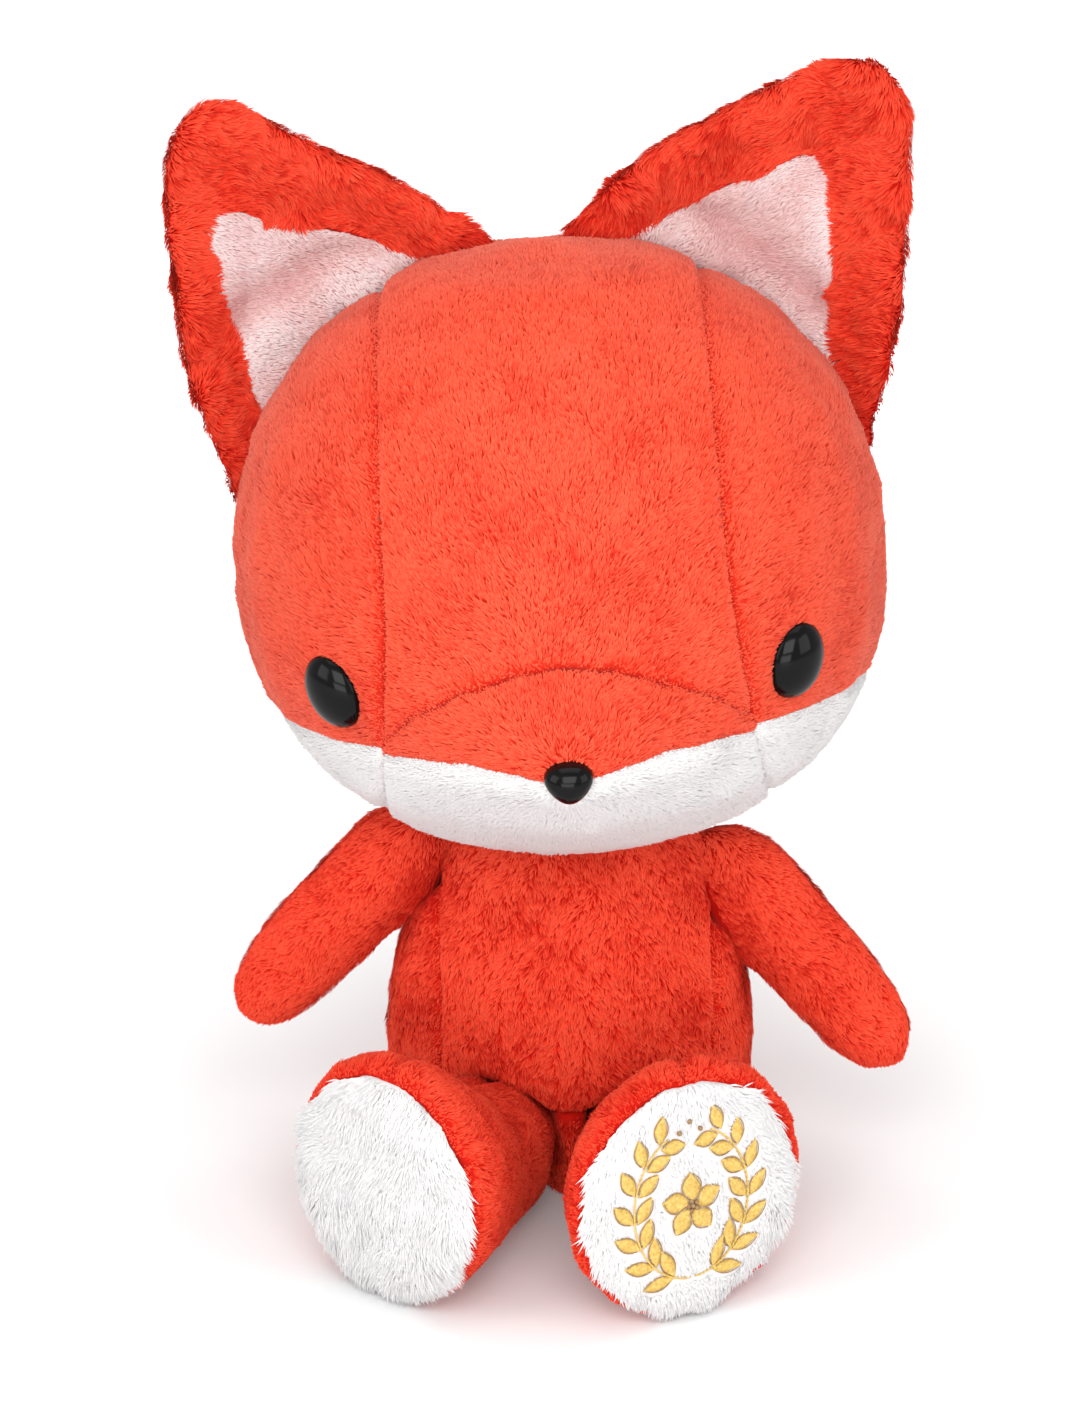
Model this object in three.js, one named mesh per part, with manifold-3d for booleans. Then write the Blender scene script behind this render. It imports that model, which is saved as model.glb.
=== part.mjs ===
// A seated plush fox, sewn from short-pile fabric over fibre stuffing.
// Millimetres, +Z up. The fox faces -Y, so its own left side is +X.
// The origin is on the floor, under the middle of the torso.
import * as THREE from "three";
import Module from "manifold-3d";

const wasm = await Module();
wasm.setup();
const { degToRad, lerp, smoothstep } = THREE.MathUtils;

// ---- Fabric, seams and clearances
const fabricThickness = 2.2; // backing and pressed-down pile together
const fabricLeastThickness = 1.1; // where the plainer skin inside comes nearest the outer one
const seamGap = 0.35; // between two panels where they are sewn
const restGap = 0.3; // between pieces that lie against each other
const fillGap = 0.4; // between the fabric and the fibre, whose skins are not quite parallel
const swingGap = 0.5; // between a piece that swings and what it swings against
const floorFlat = 0.5; // how much a stuffed form flattens where it rests on the floor
const cutReach = 200; // how far a cutting block runs past what it cuts

// ---- Head, in its own frame, with its middle at the origin
const headHalfWidth = 77;
const headCrownHeight = 73;
const headJawHeight = 72;
const headHalfDepth = 65;
const headMiddleForward = 6;
const headMiddleAside = 2.5;
const headRoll = degToRad(4.2);
const crownRoundShare = 0.98; // 1 is an ellipse, less is squarer
const leftJawRoundShare = 0.82; // the left cheek is fuller
const rightJawRoundShare = 0.9;
const neckDrop = 68.2; // from the middle of the head to the neck seam
const crownSeamHalfWidthTop = 37; // half-width of the middle panels at the crown
const crownSeamHalfWidthMiddle = 38.6; // at the middle of the head
const crownSeamHalfWidthJaw = 46.5; // and at the jaw
const earSeamBack = 14; // the ear-to-ear seam, behind the middle of the head
const headRingAngles = [-72, -55, -38, -24, -14, -5, 9, 27, 46, 67];
const headInsideRingAngles = [-55, -24, -5, 9, 46];

// ---- Snout
const snoutLength = 18;
const snoutHalfWidth = 45;
const snoutRidgeDrop = 32; // its ridge, below the middle of the head
const snoutBrowRise = 23; // from the ridge up to the peak of the brow seam
const snoutBrowEndRise = 3.4; // from the ridge up to the ends of the brow seam
const snoutRidgeHump = 3; // how far the white edge arches between nose and cheek
const snoutChinFall = 36;
const snoutPointShare = 0.6; // 1 is a pointed snout seen from above, 0 a blunt one
const snoutTopPower = 1.35; // 1 is a straight slope from brow to ridge, more is rounder
const cheekSeamFall = 3.5; // from the snout's edge down to the back of the cheek
const snoutSeamSteps = 8;

// ---- Torso: [share of its height, share of its half-width]
const torsoHalfWidth = 45.5;
const torsoHalfDepth = 36.5;
const torsoLoftHeight = 103;
const neckSeamShare = 0.906; // height of the neck seam, of the torso's
const headMiddleHeight = neckSeamShare * torsoLoftHeight + neckDrop;
const torsoWidthShares = [
  [0, 0.68], [0.06, 0.86], [0.17, 0.965], [0.32, 1], [0.5, 0.965],
  [0.63, 0.885], [0.75, 0.775], [0.84, 0.68], [0.92, 0.57], [1, 0.4],
];
const torsoRingShares = [0, 0.07, 0.2, 0.36, 0.54, 0.74, 1];
const torsoInsideRingShares = [0, 0.2, 0.54, 1];
const torsoLeftSeam = 34.5; // from the middle of the torso to each side seam
const torsoRightSeam = 31.5;
const torsoBackSeam = 10; // behind the middle of the torso
const seatSeamHeightFront = 28;
const seatSeamHeightBack = 11;
const crotchWallHalfWidth = 5; // the doubled fabric between the two legs

// ---- Arms: [share of their length, share of the root radius]
const armLength = 61; // shoulder to tip
const armRootRadius = 12;
const armDepthShare = 0.86; // how flat an arm is from front to back
const armFlatShare = 0.4; // where along the arm it has flattened
const armWidthShares = [[0, 1], [0.25, 1.03], [0.5, 1.04], [0.72, 0.97], [0.86, 0.82], [0.95, 0.56], [1, 0.22]];
const armRingShares = [0, 0.3, 0.55, 0.75, 0.9, 0.97];
const armInsideRingShares = [0, 0.55, 0.9];
const shoulderAside = 41.5;
const leftShoulderShare = 0.732; // height of the shoulder, of the torso's
const rightShoulderShare = 0.794;
const shoulderForward = 1;
const leftArmDroop = degToRad(49.5);
const rightArmDroop = degToRad(50);
const leftArmLean = degToRad(8); // forward
const rightArmLean = degToRad(-6); // and back
const armRaise = degToRad(55); // how far an arm swings up
const armSwingShares = [0, 0.33, 0.67, 1]; // where in its swing it gives way to the torso

// ---- Legs: [share of their length, share of the foot radius]
const legLength = 51; // hip to the middle of the sole
const legRootRadius = 17.5;
const footRadius = 29.5;
const legRadiusShares = [
  [0, 0.6], [0.16, 0.63], [0.36, 0.73], [0.56, 0.87], [0.74, 0.97],
  [0.87, 0.985], [0.94, 0.93], [0.98, 0.8], [1, 0.6],
];
const legRingShares = [0, 0.28, 0.56, 0.76, 0.91, 0.985];
const legInsideRingShares = [0, 0.28, 0.56, 0.91];
const legOpening = degToRad(25); // how far a leg swings out
const hipAside = 20.5;
const hipForward = 33;
const leftLegSpread = degToRad(8);
const rightLegSpread = degToRad(28);
const leftSoleTurn = degToRad(22); // a sole faces out from its leg's own line
const rightSoleTurn = degToRad(14);
const leftSoleLean = degToRad(12); // and leans back
const rightSoleLean = degToRad(3);
const soleTurnShares = [0.08, 0.97]; // where along the leg the turn and lean come in
const soleSeamSetback = 3.5; // from the front of the sole back to its seam
const soleDome = 1.5;

// ---- Tail: [share of its length, share of its radius]
const tailLength = 74;
const tailRootRadius = 8.5;
const tailRadius = 17;
const tailRootBack = 36;
const tailTurn = degToRad(6); // it lies a little to the fox's right
const tailRadiusShares = [[0, 0.5], [0.15, 0.62], [0.35, 0.86], [0.55, 1], [0.72, 0.93], [0.86, 0.7], [0.95, 0.42], [1, 0.15]];
const tailRingShares = [0, 0.2, 0.42, 0.62, 0.8, 0.94];
const tailInsideRingShares = [0, 0.42, 0.8];
const tailTipSeamShare = 0.66; // where the white tip starts
const tailTipHeightShare = 0.5; // the tip's middle above the floor, of the radius

// ---- Ears, each in a frame on the straight line between the ends of its base
const earBaseStart = degToRad(7); // from the head's own upright
const leftEarBaseEnd = degToRad(75.5);
const rightEarBaseEnd = degToRad(82);
const earHeight = 73;
const earHalfWidth = 43.5;
const leftEarTipAside = 6.5; // the tip lies this much nearer the crown
const rightEarTipAside = 18;
const leftInsertHeight = 46.5; // of the pink insert
const rightInsertHeight = 52;
const leftInsertTipAside = 3.5; // its tip lies this much nearer the crown too
const rightInsertTipAside = 0.8;
const leftEarBow = 0.8; // how far the middle of the ear bows towards the crown
const rightEarBow = -3.5;
const earFold = degToRad(10); // how far an ear folds either way
const earFoldHeight = 5; // the fold, above the straight line of the base
const earRimHalfThickness = 5;
const earMiddleHalfThickness = 3.6;
const earSeamHalfThickness = 1.7;
const earEdgeHalfThickness = 0.2;
const earRimRound = 6.5;
const earRimStart = 10.5; // the pushed-back middle starts this far from the edge
const earRimEnd = 16; // and is full this far from it
const earColumnPower = 0.8; // crowds the columns of an ear to its edges
const earCup = 8; // how far the middle of the ear is pushed back
const earCupShares = [[-0.1, 0.4], [0, 0.45], [0.35, 1], [0.75, 0.6], [1, 0]];
const earWidthShares = [[-0.1, 1.04], [0, 1.01], [0.28, 0.885], [0.55, 0.635], [0.8, 0.382], [0.9, 0.268], [0.965, 0.165], [1, 0.03]];
const earRingShares = [-0.07, 0.14, 0.36, 0.58, 0.77, 0.92];
const earLayerShares = [-1.05, -0.6, 0, 0.6, 1.05]; // columns of the surface between its two layers
const earLayerRingShares = [-0.2, 0.28, 0.6, 1.1];
const earLayerEndShare = 2; // how far its outer columns run on
const earBaseShare = -0.09; // where the form ends, inside the head
const earHollowStartShare = 0.2;
const earStuffingStartShare = 0.26;
const earTipShare = 0.99;
const earSeamTaperShares = [0.02, 0.3]; // where the flat seam swells to the full ear
const earInsertShares = [
  [-0.84, -0.18], [-0.71, 0.15], [-0.42, 0.55], [-0.13, 0.94], [-0.05, 1],
  [0.05, 0.955], [0.31, 0.64], [0.51, 0.33], [0.67, 0.165], [0.8, -0.18],
]; // corners of the pink insert, [of the ear's half-width, of the insert's height]

// ---- Eyes, nose and their shanks
const eyeHalfWidth = 7.4;
const eyeHalfHeight = 9;
const eyeDome = 5.2;
const eyeAside = 52.5;
const eyeDrop = 17;
const eyeTilt = degToRad(14);
const noseHalfWidth = 6.4;
const noseHalfHeight = 5.2;
const noseDome = 5;
const noseNarrowShare = 0.35; // how much the nose narrows towards its lower point
const noseRise = 0.6; // the nose's middle above the ridge
const domeRingShares = [-0.8, 0, 0.5, 0.86];
const domeFootShare = -0.9;
const shankRadius = 2;
const shankLength = 9;
const shankClearance = 0.25;
const washerRadius = 5.5;
const washerThickness = 1.2;
const eyeWasherGap = 0.8; // under the fabric, which is curved over the flat washer
const noseWasherRadius = 4;
const noseWasherGap = 2.4; // deeper, inside the tip of the snout

// ---- Fineness of the skins; the plainer skins inside the fabric have half the columns and some of the rings
const headColumns = 22;
const headFrontCrowdingShare = 0.45;
const torsoColumns = 16;
const legColumns = 14;
const armColumns = 10;
const tailColumns = 10;
const earColumns = 12;
const earInsideColumns = 8;
const buttonColumns = 12;
const rodColumns = 8;
const socketColumns = 9;
const socketRingAngles = [-36, 0, 36];
const socketFacetShare = 1.12; // its flat facets clear the round root
const rootRingAngles = [-50];

// ---- Building blocks

const at = (x, y, z) => new THREE.Vector3(x, y, z);
const shift = (x, y, z) => new THREE.Matrix4().makeTranslation(x, y, z);
const turnX = (angle) => new THREE.Matrix4().makeRotationX(angle);
const turnY = (angle) => new THREE.Matrix4().makeRotationY(angle);
const turnZ = (angle) => new THREE.Matrix4().makeRotationZ(angle);
const chain = (...matrices) => matrices.reduce((all, next) => all.multiply(next), new THREE.Matrix4());
const sides = [[1, "left"], [-1, "right"]];

// A skin whose faces all look outwards.
function facingOut(positions, index) {
  const corner = (k) => new THREE.Vector3().fromArray(positions, 3 * index[k]);
  let volume = 0;
  for (let k = 0; k < index.length; k += 3)
    volume += corner(k).dot(corner(k + 1).cross(corner(k + 2)));
  const faces = [...index];
  if (volume < 0)
    for (let k = 0; k < faces.length; k += 3) [faces[k + 1], faces[k + 2]] = [faces[k + 2], faces[k + 1]];
  const geometry = new THREE.BufferGeometry();
  geometry.setAttribute("position", new THREE.Float32BufferAttribute(positions, 3));
  geometry.setIndex(faces);
  return geometry;
}

// A closed skin over rings of points, point(turn, station), from one end to the other.
function closedForm(point, columns, stations, start, end) {
  const positions = [...start.toArray()];
  for (const station of stations)
    for (let i = 0; i < columns; i++)
      positions.push(...point((2 * Math.PI * i) / columns, station).toArray());
  positions.push(...end.toArray());
  const last = stations.length - 1;
  const tip = positions.length / 3 - 1;
  const on = (i, j) => 1 + j * columns + (i % columns);
  const index = [];
  for (let i = 0; i < columns; i++) {
    index.push(0, on(i + 1, 0), on(i, 0), on(i, last), on(i + 1, last), tip);
    for (let j = 0; j < last; j++)
      index.push(on(i, j), on(i + 1, j), on(i + 1, j + 1), on(i, j), on(i + 1, j + 1), on(i, j + 1));
  }
  return facingOut(positions, index);
}

// The same skin, moved in along its own normals.
function inset(geometry, distance) {
  const copy = geometry.clone();
  copy.computeVertexNormals();
  const place = copy.attributes.position;
  const normal = copy.attributes.normal;
  for (let i = 0; i < place.count; i++) {
    const p = new THREE.Vector3().fromBufferAttribute(place, i);
    p.addScaledVector(new THREE.Vector3().fromBufferAttribute(normal, i), -distance);
    place.setXYZ(i, p.x, p.y, p.z);
  }
  copy.deleteAttribute("normal");
  return copy;
}

const moved = (geometry, matrix) => {
  const copy = geometry.clone().applyMatrix4(matrix);
  return facingOut([...copy.attributes.position.array], [...copy.index.array]);
};

const solid = (geometry) =>
  new wasm.Manifold(
    new wasm.Mesh({
      numProp: 3,
      vertProperties: new Float32Array(geometry.attributes.position.array),
      triVerts: new Uint32Array(geometry.index.array),
    }),
  );

// An outline of [x, z] corners, run along y from low to high.
function prism(outline, low = -cutReach, high = cutReach) {
  const flat = outline.map(([x, z]) => new THREE.Vector2(x, z));
  const positions = [];
  for (const y of [low, high]) for (const p of flat) positions.push(p.x, y, p.y);
  const n = flat.length;
  const index = [];
  for (const [a, b, c] of THREE.ShapeUtils.triangulateShape(flat, []))
    index.push(a, b, c, c + n, b + n, a + n);
  for (let i = 0; i < n; i++) {
    const j = (i + 1) % n;
    if (THREE.ShapeUtils.isClockWise(flat)) index.push(i, j, i + n, j, j + n, i + n);
    else index.push(j, i, i + n, j, i + n, j + n);
  }
  return facingOut(positions, index);
}

// The outline with every side moved in by half a seam, or out for a hole.
function seamed(outline, way = 1) {
  const flat = outline.map(([x, z]) => new THREE.Vector2(x, z));
  const inward = THREE.ShapeUtils.isClockWise(flat) ? -1 : 1;
  const edge = (i) => {
    const from = flat[(i + flat.length) % flat.length];
    const along = flat[(i + 1) % flat.length].clone().sub(from).normalize();
    const in2D = new THREE.Vector2(-along.y, along.x).multiplyScalar((inward * way * seamGap) / 2);
    return { from: from.clone().add(in2D), along };
  };
  return flat.map((_, i) => {
    const p = edge(i - 1);
    const q = edge(i);
    const cross = p.along.cross(q.along);
    if (Math.abs(cross) < 1e-9) return q.from.toArray();
    const t = q.from.clone().sub(p.from).cross(q.along) / cross;
    return p.from.clone().addScaledVector(p.along, t).toArray();
  });
}

const region = (outline, low, high) => solid(prism(seamed(outline), low, high));
const rectangle = (left, right, low, high) => [[left, low], [right, low], [right, high], [left, high]];

// Sizes along a form, read from [share, size share] corners and rounded between them.
const profile = (corners) => (share) => {
  let k = 0;
  while (k < corners.length - 2 && share > corners[k + 1][0]) k++;
  const [s0, v0] = corners[k];
  const [s1, v1] = corners[k + 1];
  const flat = (v1 - v0) / (s1 - s0);
  const slope = (i) =>
    i <= 0 || i >= corners.length - 1
      ? flat
      : (corners[i + 1][1] - corners[i - 1][1]) / (corners[i + 1][0] - corners[i - 1][0]);
  const t = Math.min(1, Math.max(0, (share - s0) / (s1 - s0)));
  const run = s1 - s0;
  return (
    v0 * (2 * t ** 3 - 3 * t ** 2 + 1) +
    slope(k) * run * (t ** 3 - 2 * t ** 2 + t) +
    v1 * (3 * t ** 2 - 2 * t ** 3) +
    slope(k + 1) * run * (t ** 3 - t ** 2)
  );
};

// The round hollow that a limb's root sits in; with a skirt it runs on down to the floor.
function socket(centre, rootRadius, skirt) {
  const radius = rootRadius * socketFacetShare;
  const point = (turn, angle) => {
    const lift = degToRad(angle);
    if (skirt && lift < 0) {
      const share = (angle - socketRingAngles[0]) / -socketRingAngles[0];
      return at(radius * Math.cos(turn), radius * Math.sin(turn), lerp(-skirt, 0, share)).add(centre);
    }
    return at(radius * Math.cos(lift) * Math.cos(turn), radius * Math.cos(lift) * Math.sin(turn), radius * Math.sin(lift)).add(centre);
  };
  return solid(
    closedForm(
      point,
      socketColumns,
      socketRingAngles,
      centre.clone().add(at(0, 0, -(skirt || radius))),
      centre.clone().add(at(0, 0, radius)),
    ),
  );
}

// A limb along its own line, from a round root at the origin.
function limb(columns, ringShares, { radius, root, length, tip, place }) {
  const stations = [...rootRingAngles.map((angle) => [degToRad(angle), 0]), ...ringShares.map((share) => [0, share])];
  const point = (turn, [angle, share]) =>
    share > 0 || angle === 0
      ? place(share * length, radius(share), turn, share)
      : place(root * Math.sin(angle), root * Math.cos(angle), turn, 0);
  return closedForm(point, columns, stations, place(-root, 0, 0, 0), place(length + tip, 0, 0, 1));
}

// Fabric shell and fibre of a stuffed form, from its skin and the plainer skin inside it.
function stuffed(skin, plainSkin) {
  const inside = (gap) =>
    solid(inset(plainSkin, fabricThickness + gap)).intersect(solid(inset(skin, fabricLeastThickness + gap)));
  const outside = solid(skin);
  const hollow = inside(0);
  return { outside, hollow, shell: outside.subtract(hollow), fibre: inside(fillGap) };
}

const aboveFloor = solid(prism(rectangle(-cutReach, cutReach, 0, cutReach)));

const finishes = {
  redPile: [0xee3f28, 0.95],
  whitePile: [0xf2efee, 0.95],
  pinkPile: [0xe3b3b1, 0.95],
  fibre: [0xf4f3ef, 1],
  blackGloss: [0x0a0a0b, 0.12],
  clearNylon: [0xd8d8d2, 0.45],
};

// ---- The scene: a group for each part that moves, its meshes in its own frame

function place(parent, name, position = at(0, 0, 0), rotation = [0, 0, 0], side = 1) {
  const child = new THREE.Group();
  child.name = name;
  child.position.copy(position);
  child.rotation.set(...rotation);
  child.scale.x = side;
  if (parent) parent.add(child);
  child.updateWorldMatrix(true, false);
  return child;
}

function add(parent, name, made, finish) {
  const mesh = made.getMesh();
  const geometry = new THREE.BufferGeometry();
  geometry.setAttribute("position", new THREE.BufferAttribute(mesh.vertProperties, mesh.numProp));
  geometry.setIndex(new THREE.BufferAttribute(mesh.triVerts, 1));
  geometry.computeVertexNormals();
  const [color, roughness] = finishes[finish];
  const shown = new THREE.Mesh(geometry, new THREE.MeshStandardMaterial({ color, roughness, metalness: 0 }));
  shown.name = name;
  parent.add(shown);
}

const fox = place(null, "fox");
const headGroup = place(fox, "head", at(-headMiddleAside, -headMiddleForward, headMiddleHeight), [0, -headRoll, 0]);

// A limb or an ear gives way to what it swings against, all along its swing.
// The obstacle, pivot and axis are in the frame that the matrix leads to.
const giveWay = (made, matrix, obstacle, pivot, axis, angles) => {
  const back = matrix.clone().invert();
  const pivotShift = (way) => shift(...pivot.clone().multiplyScalar(way).toArray());
  return angles.reduce((left, angle) => {
    const swing = chain(pivotShift(1), new THREE.Matrix4().makeRotationAxis(axis, -angle), pivotShift(-1));
    return left.subtract(obstacle.transform(chain(back, swing).elements));
  }, made);
};

// ---- Head

const acrossSnout = (x) => Math.min(1, Math.abs(x) / snoutHalfWidth);
const browRise = (x) => lerp(snoutBrowRise, snoutBrowEndRise, acrossSnout(x) ** 2);
const edgeRise = (x) => snoutRidgeHump * Math.sin(Math.PI * acrossSnout(x)) ** 2;

// How far the snout stands out of the face.
function snoutReach(x, z) {
  const across = acrossSnout(x);
  const reach = snoutLength * lerp(1 - across ** 2, 1 - across, snoutPointShare);
  const rise = z + snoutRidgeDrop - edgeRise(x);
  const kept = rise > 0 ? 1 - Math.min(1, rise / browRise(x)) ** snoutTopPower : 1 - smoothstep(-rise, 0, snoutChinFall);
  return reach * kept;
}

function headPoint(turn, lift) {
  const facing = turn - headFrontCrowdingShare * Math.cos(turn);
  const jawRoundShare = lerp(rightJawRoundShare, leftJawRoundShare, (1 + Math.cos(facing)) / 2);
  const round = lift > 0 ? crownRoundShare : jawRoundShare;
  const ring = Math.cos(lift) ** round;
  const x = headHalfWidth * ring * Math.cos(facing);
  const y = headHalfDepth * ring * Math.sin(facing);
  const z = (lift > 0 ? headCrownHeight : headJawHeight) * Math.sign(lift) * Math.abs(Math.sin(lift)) ** round;
  return at(x, Math.sin(facing) < 0 ? y - snoutReach(x, z) : y, z);
}

const headForm = (columns, angles) =>
  closedForm(headPoint, columns, angles.map(degToRad), at(0, 0, -headJawHeight), at(0, 0, headCrownHeight));
const headSkin = headForm(headColumns, headRingAngles);
const head = stuffed(headSkin, headForm(headColumns / 2, headInsideRingAngles));
const aboveNeck = solid(prism(rectangle(-cutReach, cutReach, -neckDrop + restGap / 2, cutReach)));

const sideSeam = (z) =>
  z > 0
    ? lerp(crownSeamHalfWidthMiddle, crownSeamHalfWidthTop, z / headCrownHeight)
    : lerp(crownSeamHalfWidthMiddle, crownSeamHalfWidthJaw, -z / headJawHeight);

// The two seams across the snout, from one side seam to the other.
const snoutSeam = (rise) =>
  Array.from({ length: snoutSeamSteps + 1 }, (_, i) => {
    const x = lerp(-snoutHalfWidth, snoutHalfWidth, i / snoutSeamSteps);
    const outermost = i === 0 || i === snoutSeamSteps;
    return [outermost ? Math.sign(x) * sideSeam(-snoutRidgeDrop) : x, -snoutRidgeDrop + rise(x)];
  });
const browSeam = snoutSeam(browRise);
const edgeSeam = snoutSeam(edgeRise);

// A frame on the face at x, z, with its own z straight out of the head.
const faceMesh = new THREE.Mesh(headSkin.clone(), new THREE.MeshBasicMaterial({ side: THREE.DoubleSide }));
const onFace = (x, z) => new THREE.Raycaster(at(x, -cutReach, z), at(0, 1, 0)).intersectObject(faceMesh)[0].point;
function seatOnFace(x, z, span, tilt) {
  const across = onFace(x + span, z).sub(onFace(x - span, z));
  const up = onFace(x, z + span).sub(onFace(x, z - span));
  const out = across.cross(up).normalize();
  const right = at(0, 0, 1).cross(out).normalize();
  return chain(new THREE.Matrix4().makeBasis(right, out.clone().cross(right), out).setPosition(onFace(x, z)), turnZ(tilt));
}

// A domed button on its seat: x and y across, z out.
function dome(halfWidth, halfHeight, rise, narrowing) {
  const point = (turn, level) => {
    const r = level < 0 ? 1 : Math.sqrt(1 - level ** 2);
    const narrow = 1 - (narrowing * (1 - Math.sin(turn))) / 2;
    return at(r * halfWidth * narrow * Math.cos(turn), r * halfHeight * Math.sin(turn), level * rise);
  };
  return closedForm(point, buttonColumns, domeRingShares, at(0, 0, domeFootShare * rise), at(0, 0, rise));
}

function rod(radius, low, high) {
  const point = (turn, z) => at(radius * Math.cos(turn), radius * Math.sin(turn), z);
  return closedForm(point, rodColumns, [low, high], at(0, 0, low), at(0, 0, high));
}

const eyeForm = dome(eyeHalfWidth, eyeHalfHeight, eyeDome, 0);
const buttons = [
  ["eye_left", seatOnFace(eyeAside, -eyeDrop, eyeHalfWidth, -eyeTilt), eyeForm, washerRadius, eyeWasherGap],
  ["eye_right", seatOnFace(-eyeAside, -eyeDrop, eyeHalfWidth, eyeTilt), eyeForm, washerRadius, eyeWasherGap],
  [
    "nose",
    seatOnFace(0, noseRise - snoutRidgeDrop, noseHalfHeight, 0),
    dome(noseHalfWidth, noseHalfHeight, noseDome, noseNarrowShare),
    noseWasherRadius,
    noseWasherGap,
  ],
];
const headClear = solid(inset(headSkin, -restGap));
let headShell = head.shell.intersect(aboveNeck);
let headFibre = head.fibre.intersect(aboveNeck);
for (const [name, seat, form, washer, gap] of buttons) {
  const seated = (geometry) => solid(moved(geometry, seat));
  const washerTop = -fabricThickness - gap;
  const washerFoot = washerTop - washerThickness;
  headShell = headShell
    .subtract(seated(rod(washer + restGap, washerFoot - restGap, washerTop + restGap)))
    .subtract(seated(rod(shankRadius + shankClearance, -shankLength, shankLength)));
  headFibre = headFibre
    .subtract(seated(rod(washer + restGap, washerFoot - restGap, 0)))
    .subtract(seated(rod(shankRadius + restGap, -shankLength - restGap, 0)));
  add(headGroup, name, seated(form).subtract(headClear).add(seated(rod(shankRadius, -shankLength, eyeDome / 2))), "blackGloss");
  add(
    headGroup,
    name + "_washer",
    seated(rod(washer, washerFoot, washerTop)).subtract(seated(rod(shankRadius + shankClearance, -cutReach, cutReach))),
    "clearNylon",
  );
}
add(headGroup, "head_stuffing", headFibre, "fibre");

const front = earSeamBack - seamGap / 2;
const top = cutReach;
const bottom = -cutReach;
const crownWidth = sideSeam(headCrownHeight);
const jawWidth = sideSeam(-headJawHeight);
const cheekStart = [sideSeam(-snoutRidgeDrop), -snoutRidgeDrop + snoutBrowEndRise / 2];
const cheekEnd = [headHalfWidth, cheekStart[1] - cheekSeamFall];
const addHeadPanel = (name, outline, finish) =>
  add(headGroup, name, headShell.intersect(region(outline, -cutReach, front)), finish);
const middleSeam = (side) => [side * crownSeamHalfWidthMiddle, 0];
addHeadPanel(
  "crown_panel",
  [[-crownWidth, headCrownHeight], middleSeam(-1), ...browSeam, middleSeam(1), [crownWidth, headCrownHeight], [crownWidth, top], [-crownWidth, top]],
  "redPile",
);
addHeadPanel("muzzle_panel", [...browSeam, ...[...edgeSeam].reverse()], "redPile");
addHeadPanel("chin_panel", [...edgeSeam, [jawWidth, -headJawHeight], [jawWidth, bottom], [-jawWidth, bottom], [-jawWidth, -headJawHeight]], "whitePile");
for (const [side, word] of sides) {
  const own = (outline) => outline.map(([x, z]) => [side * x, z]);
  addHeadPanel(
    "side_panel_" + word,
    own([[crownWidth, top], [crownWidth, headCrownHeight], middleSeam(1), cheekStart, cheekEnd, [cutReach, cheekEnd[1]], [cutReach, top]]),
    "redPile",
  );
  addHeadPanel(
    "cheek_panel_" + word,
    own([cheekStart, [jawWidth, -headJawHeight], [jawWidth, bottom], [cutReach, bottom], [cutReach, cheekEnd[1]], cheekEnd]),
    "whitePile",
  );
  add(
    headGroup,
    "back_panel_" + word,
    headShell.intersect(region(own(rectangle(0, cutReach, bottom, top)), earSeamBack + seamGap / 2, cutReach)),
    "redPile",
  );
}

// ---- Ears

const earWidth = profile(earWidthShares);
const earCupAt = profile(earCupShares);
const earMiddle = (across, share) => earCup * earCupAt(share) * (1 - across ** 2);

// A layer of the ear, its surface this far under the ear's own; turn runs around its thin section.
const earForm = (columns, depth, aside, ringShares, startShare, edge = earEdgeHalfThickness) => {
  const spot = (across, share, way) => {
    const half = earHalfWidth * earWidth(share);
    const x = half * across;
    const fromEdge = Math.min(half * (1 - Math.abs(across)), (1 - share) * earHeight);
    const round = Math.sqrt(Math.max(0, 1 - (1 - Math.min(1, fromEdge / earRimRound)) ** 2));
    const recess = smoothstep(fromEdge, earRimStart, earRimEnd);
    const full = lerp(earRimHalfThickness, earMiddleHalfThickness, recess);
    const swell = smoothstep(share, ...earSeamTaperShares);
    const thick = Math.max(edge, lerp(earSeamHalfThickness, full, swell) * round - depth);
    const inwards = 1 - (depth / half) * Math.abs(across);
    return at(x * inwards - aside(share), earMiddle(across * inwards, share) + way * thick, share * earHeight);
  };
  const point = (turn, share) => {
    const q = -Math.cos(turn);
    const across = Math.sign(q) * Math.abs(q) ** earColumnPower;
    return spot(across, share, Math.abs(Math.sin(turn)) < 1e-6 ? 0 : Math.sign(Math.sin(turn)));
  };
  const tip = earTipShare - depth / earHeight;
  const rings = ringShares.filter((share) => share < tip - depth / earHeight);
  return closedForm(point, columns, rings, spot(0, startShare, 0), spot(0, tip, 0));
};

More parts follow.
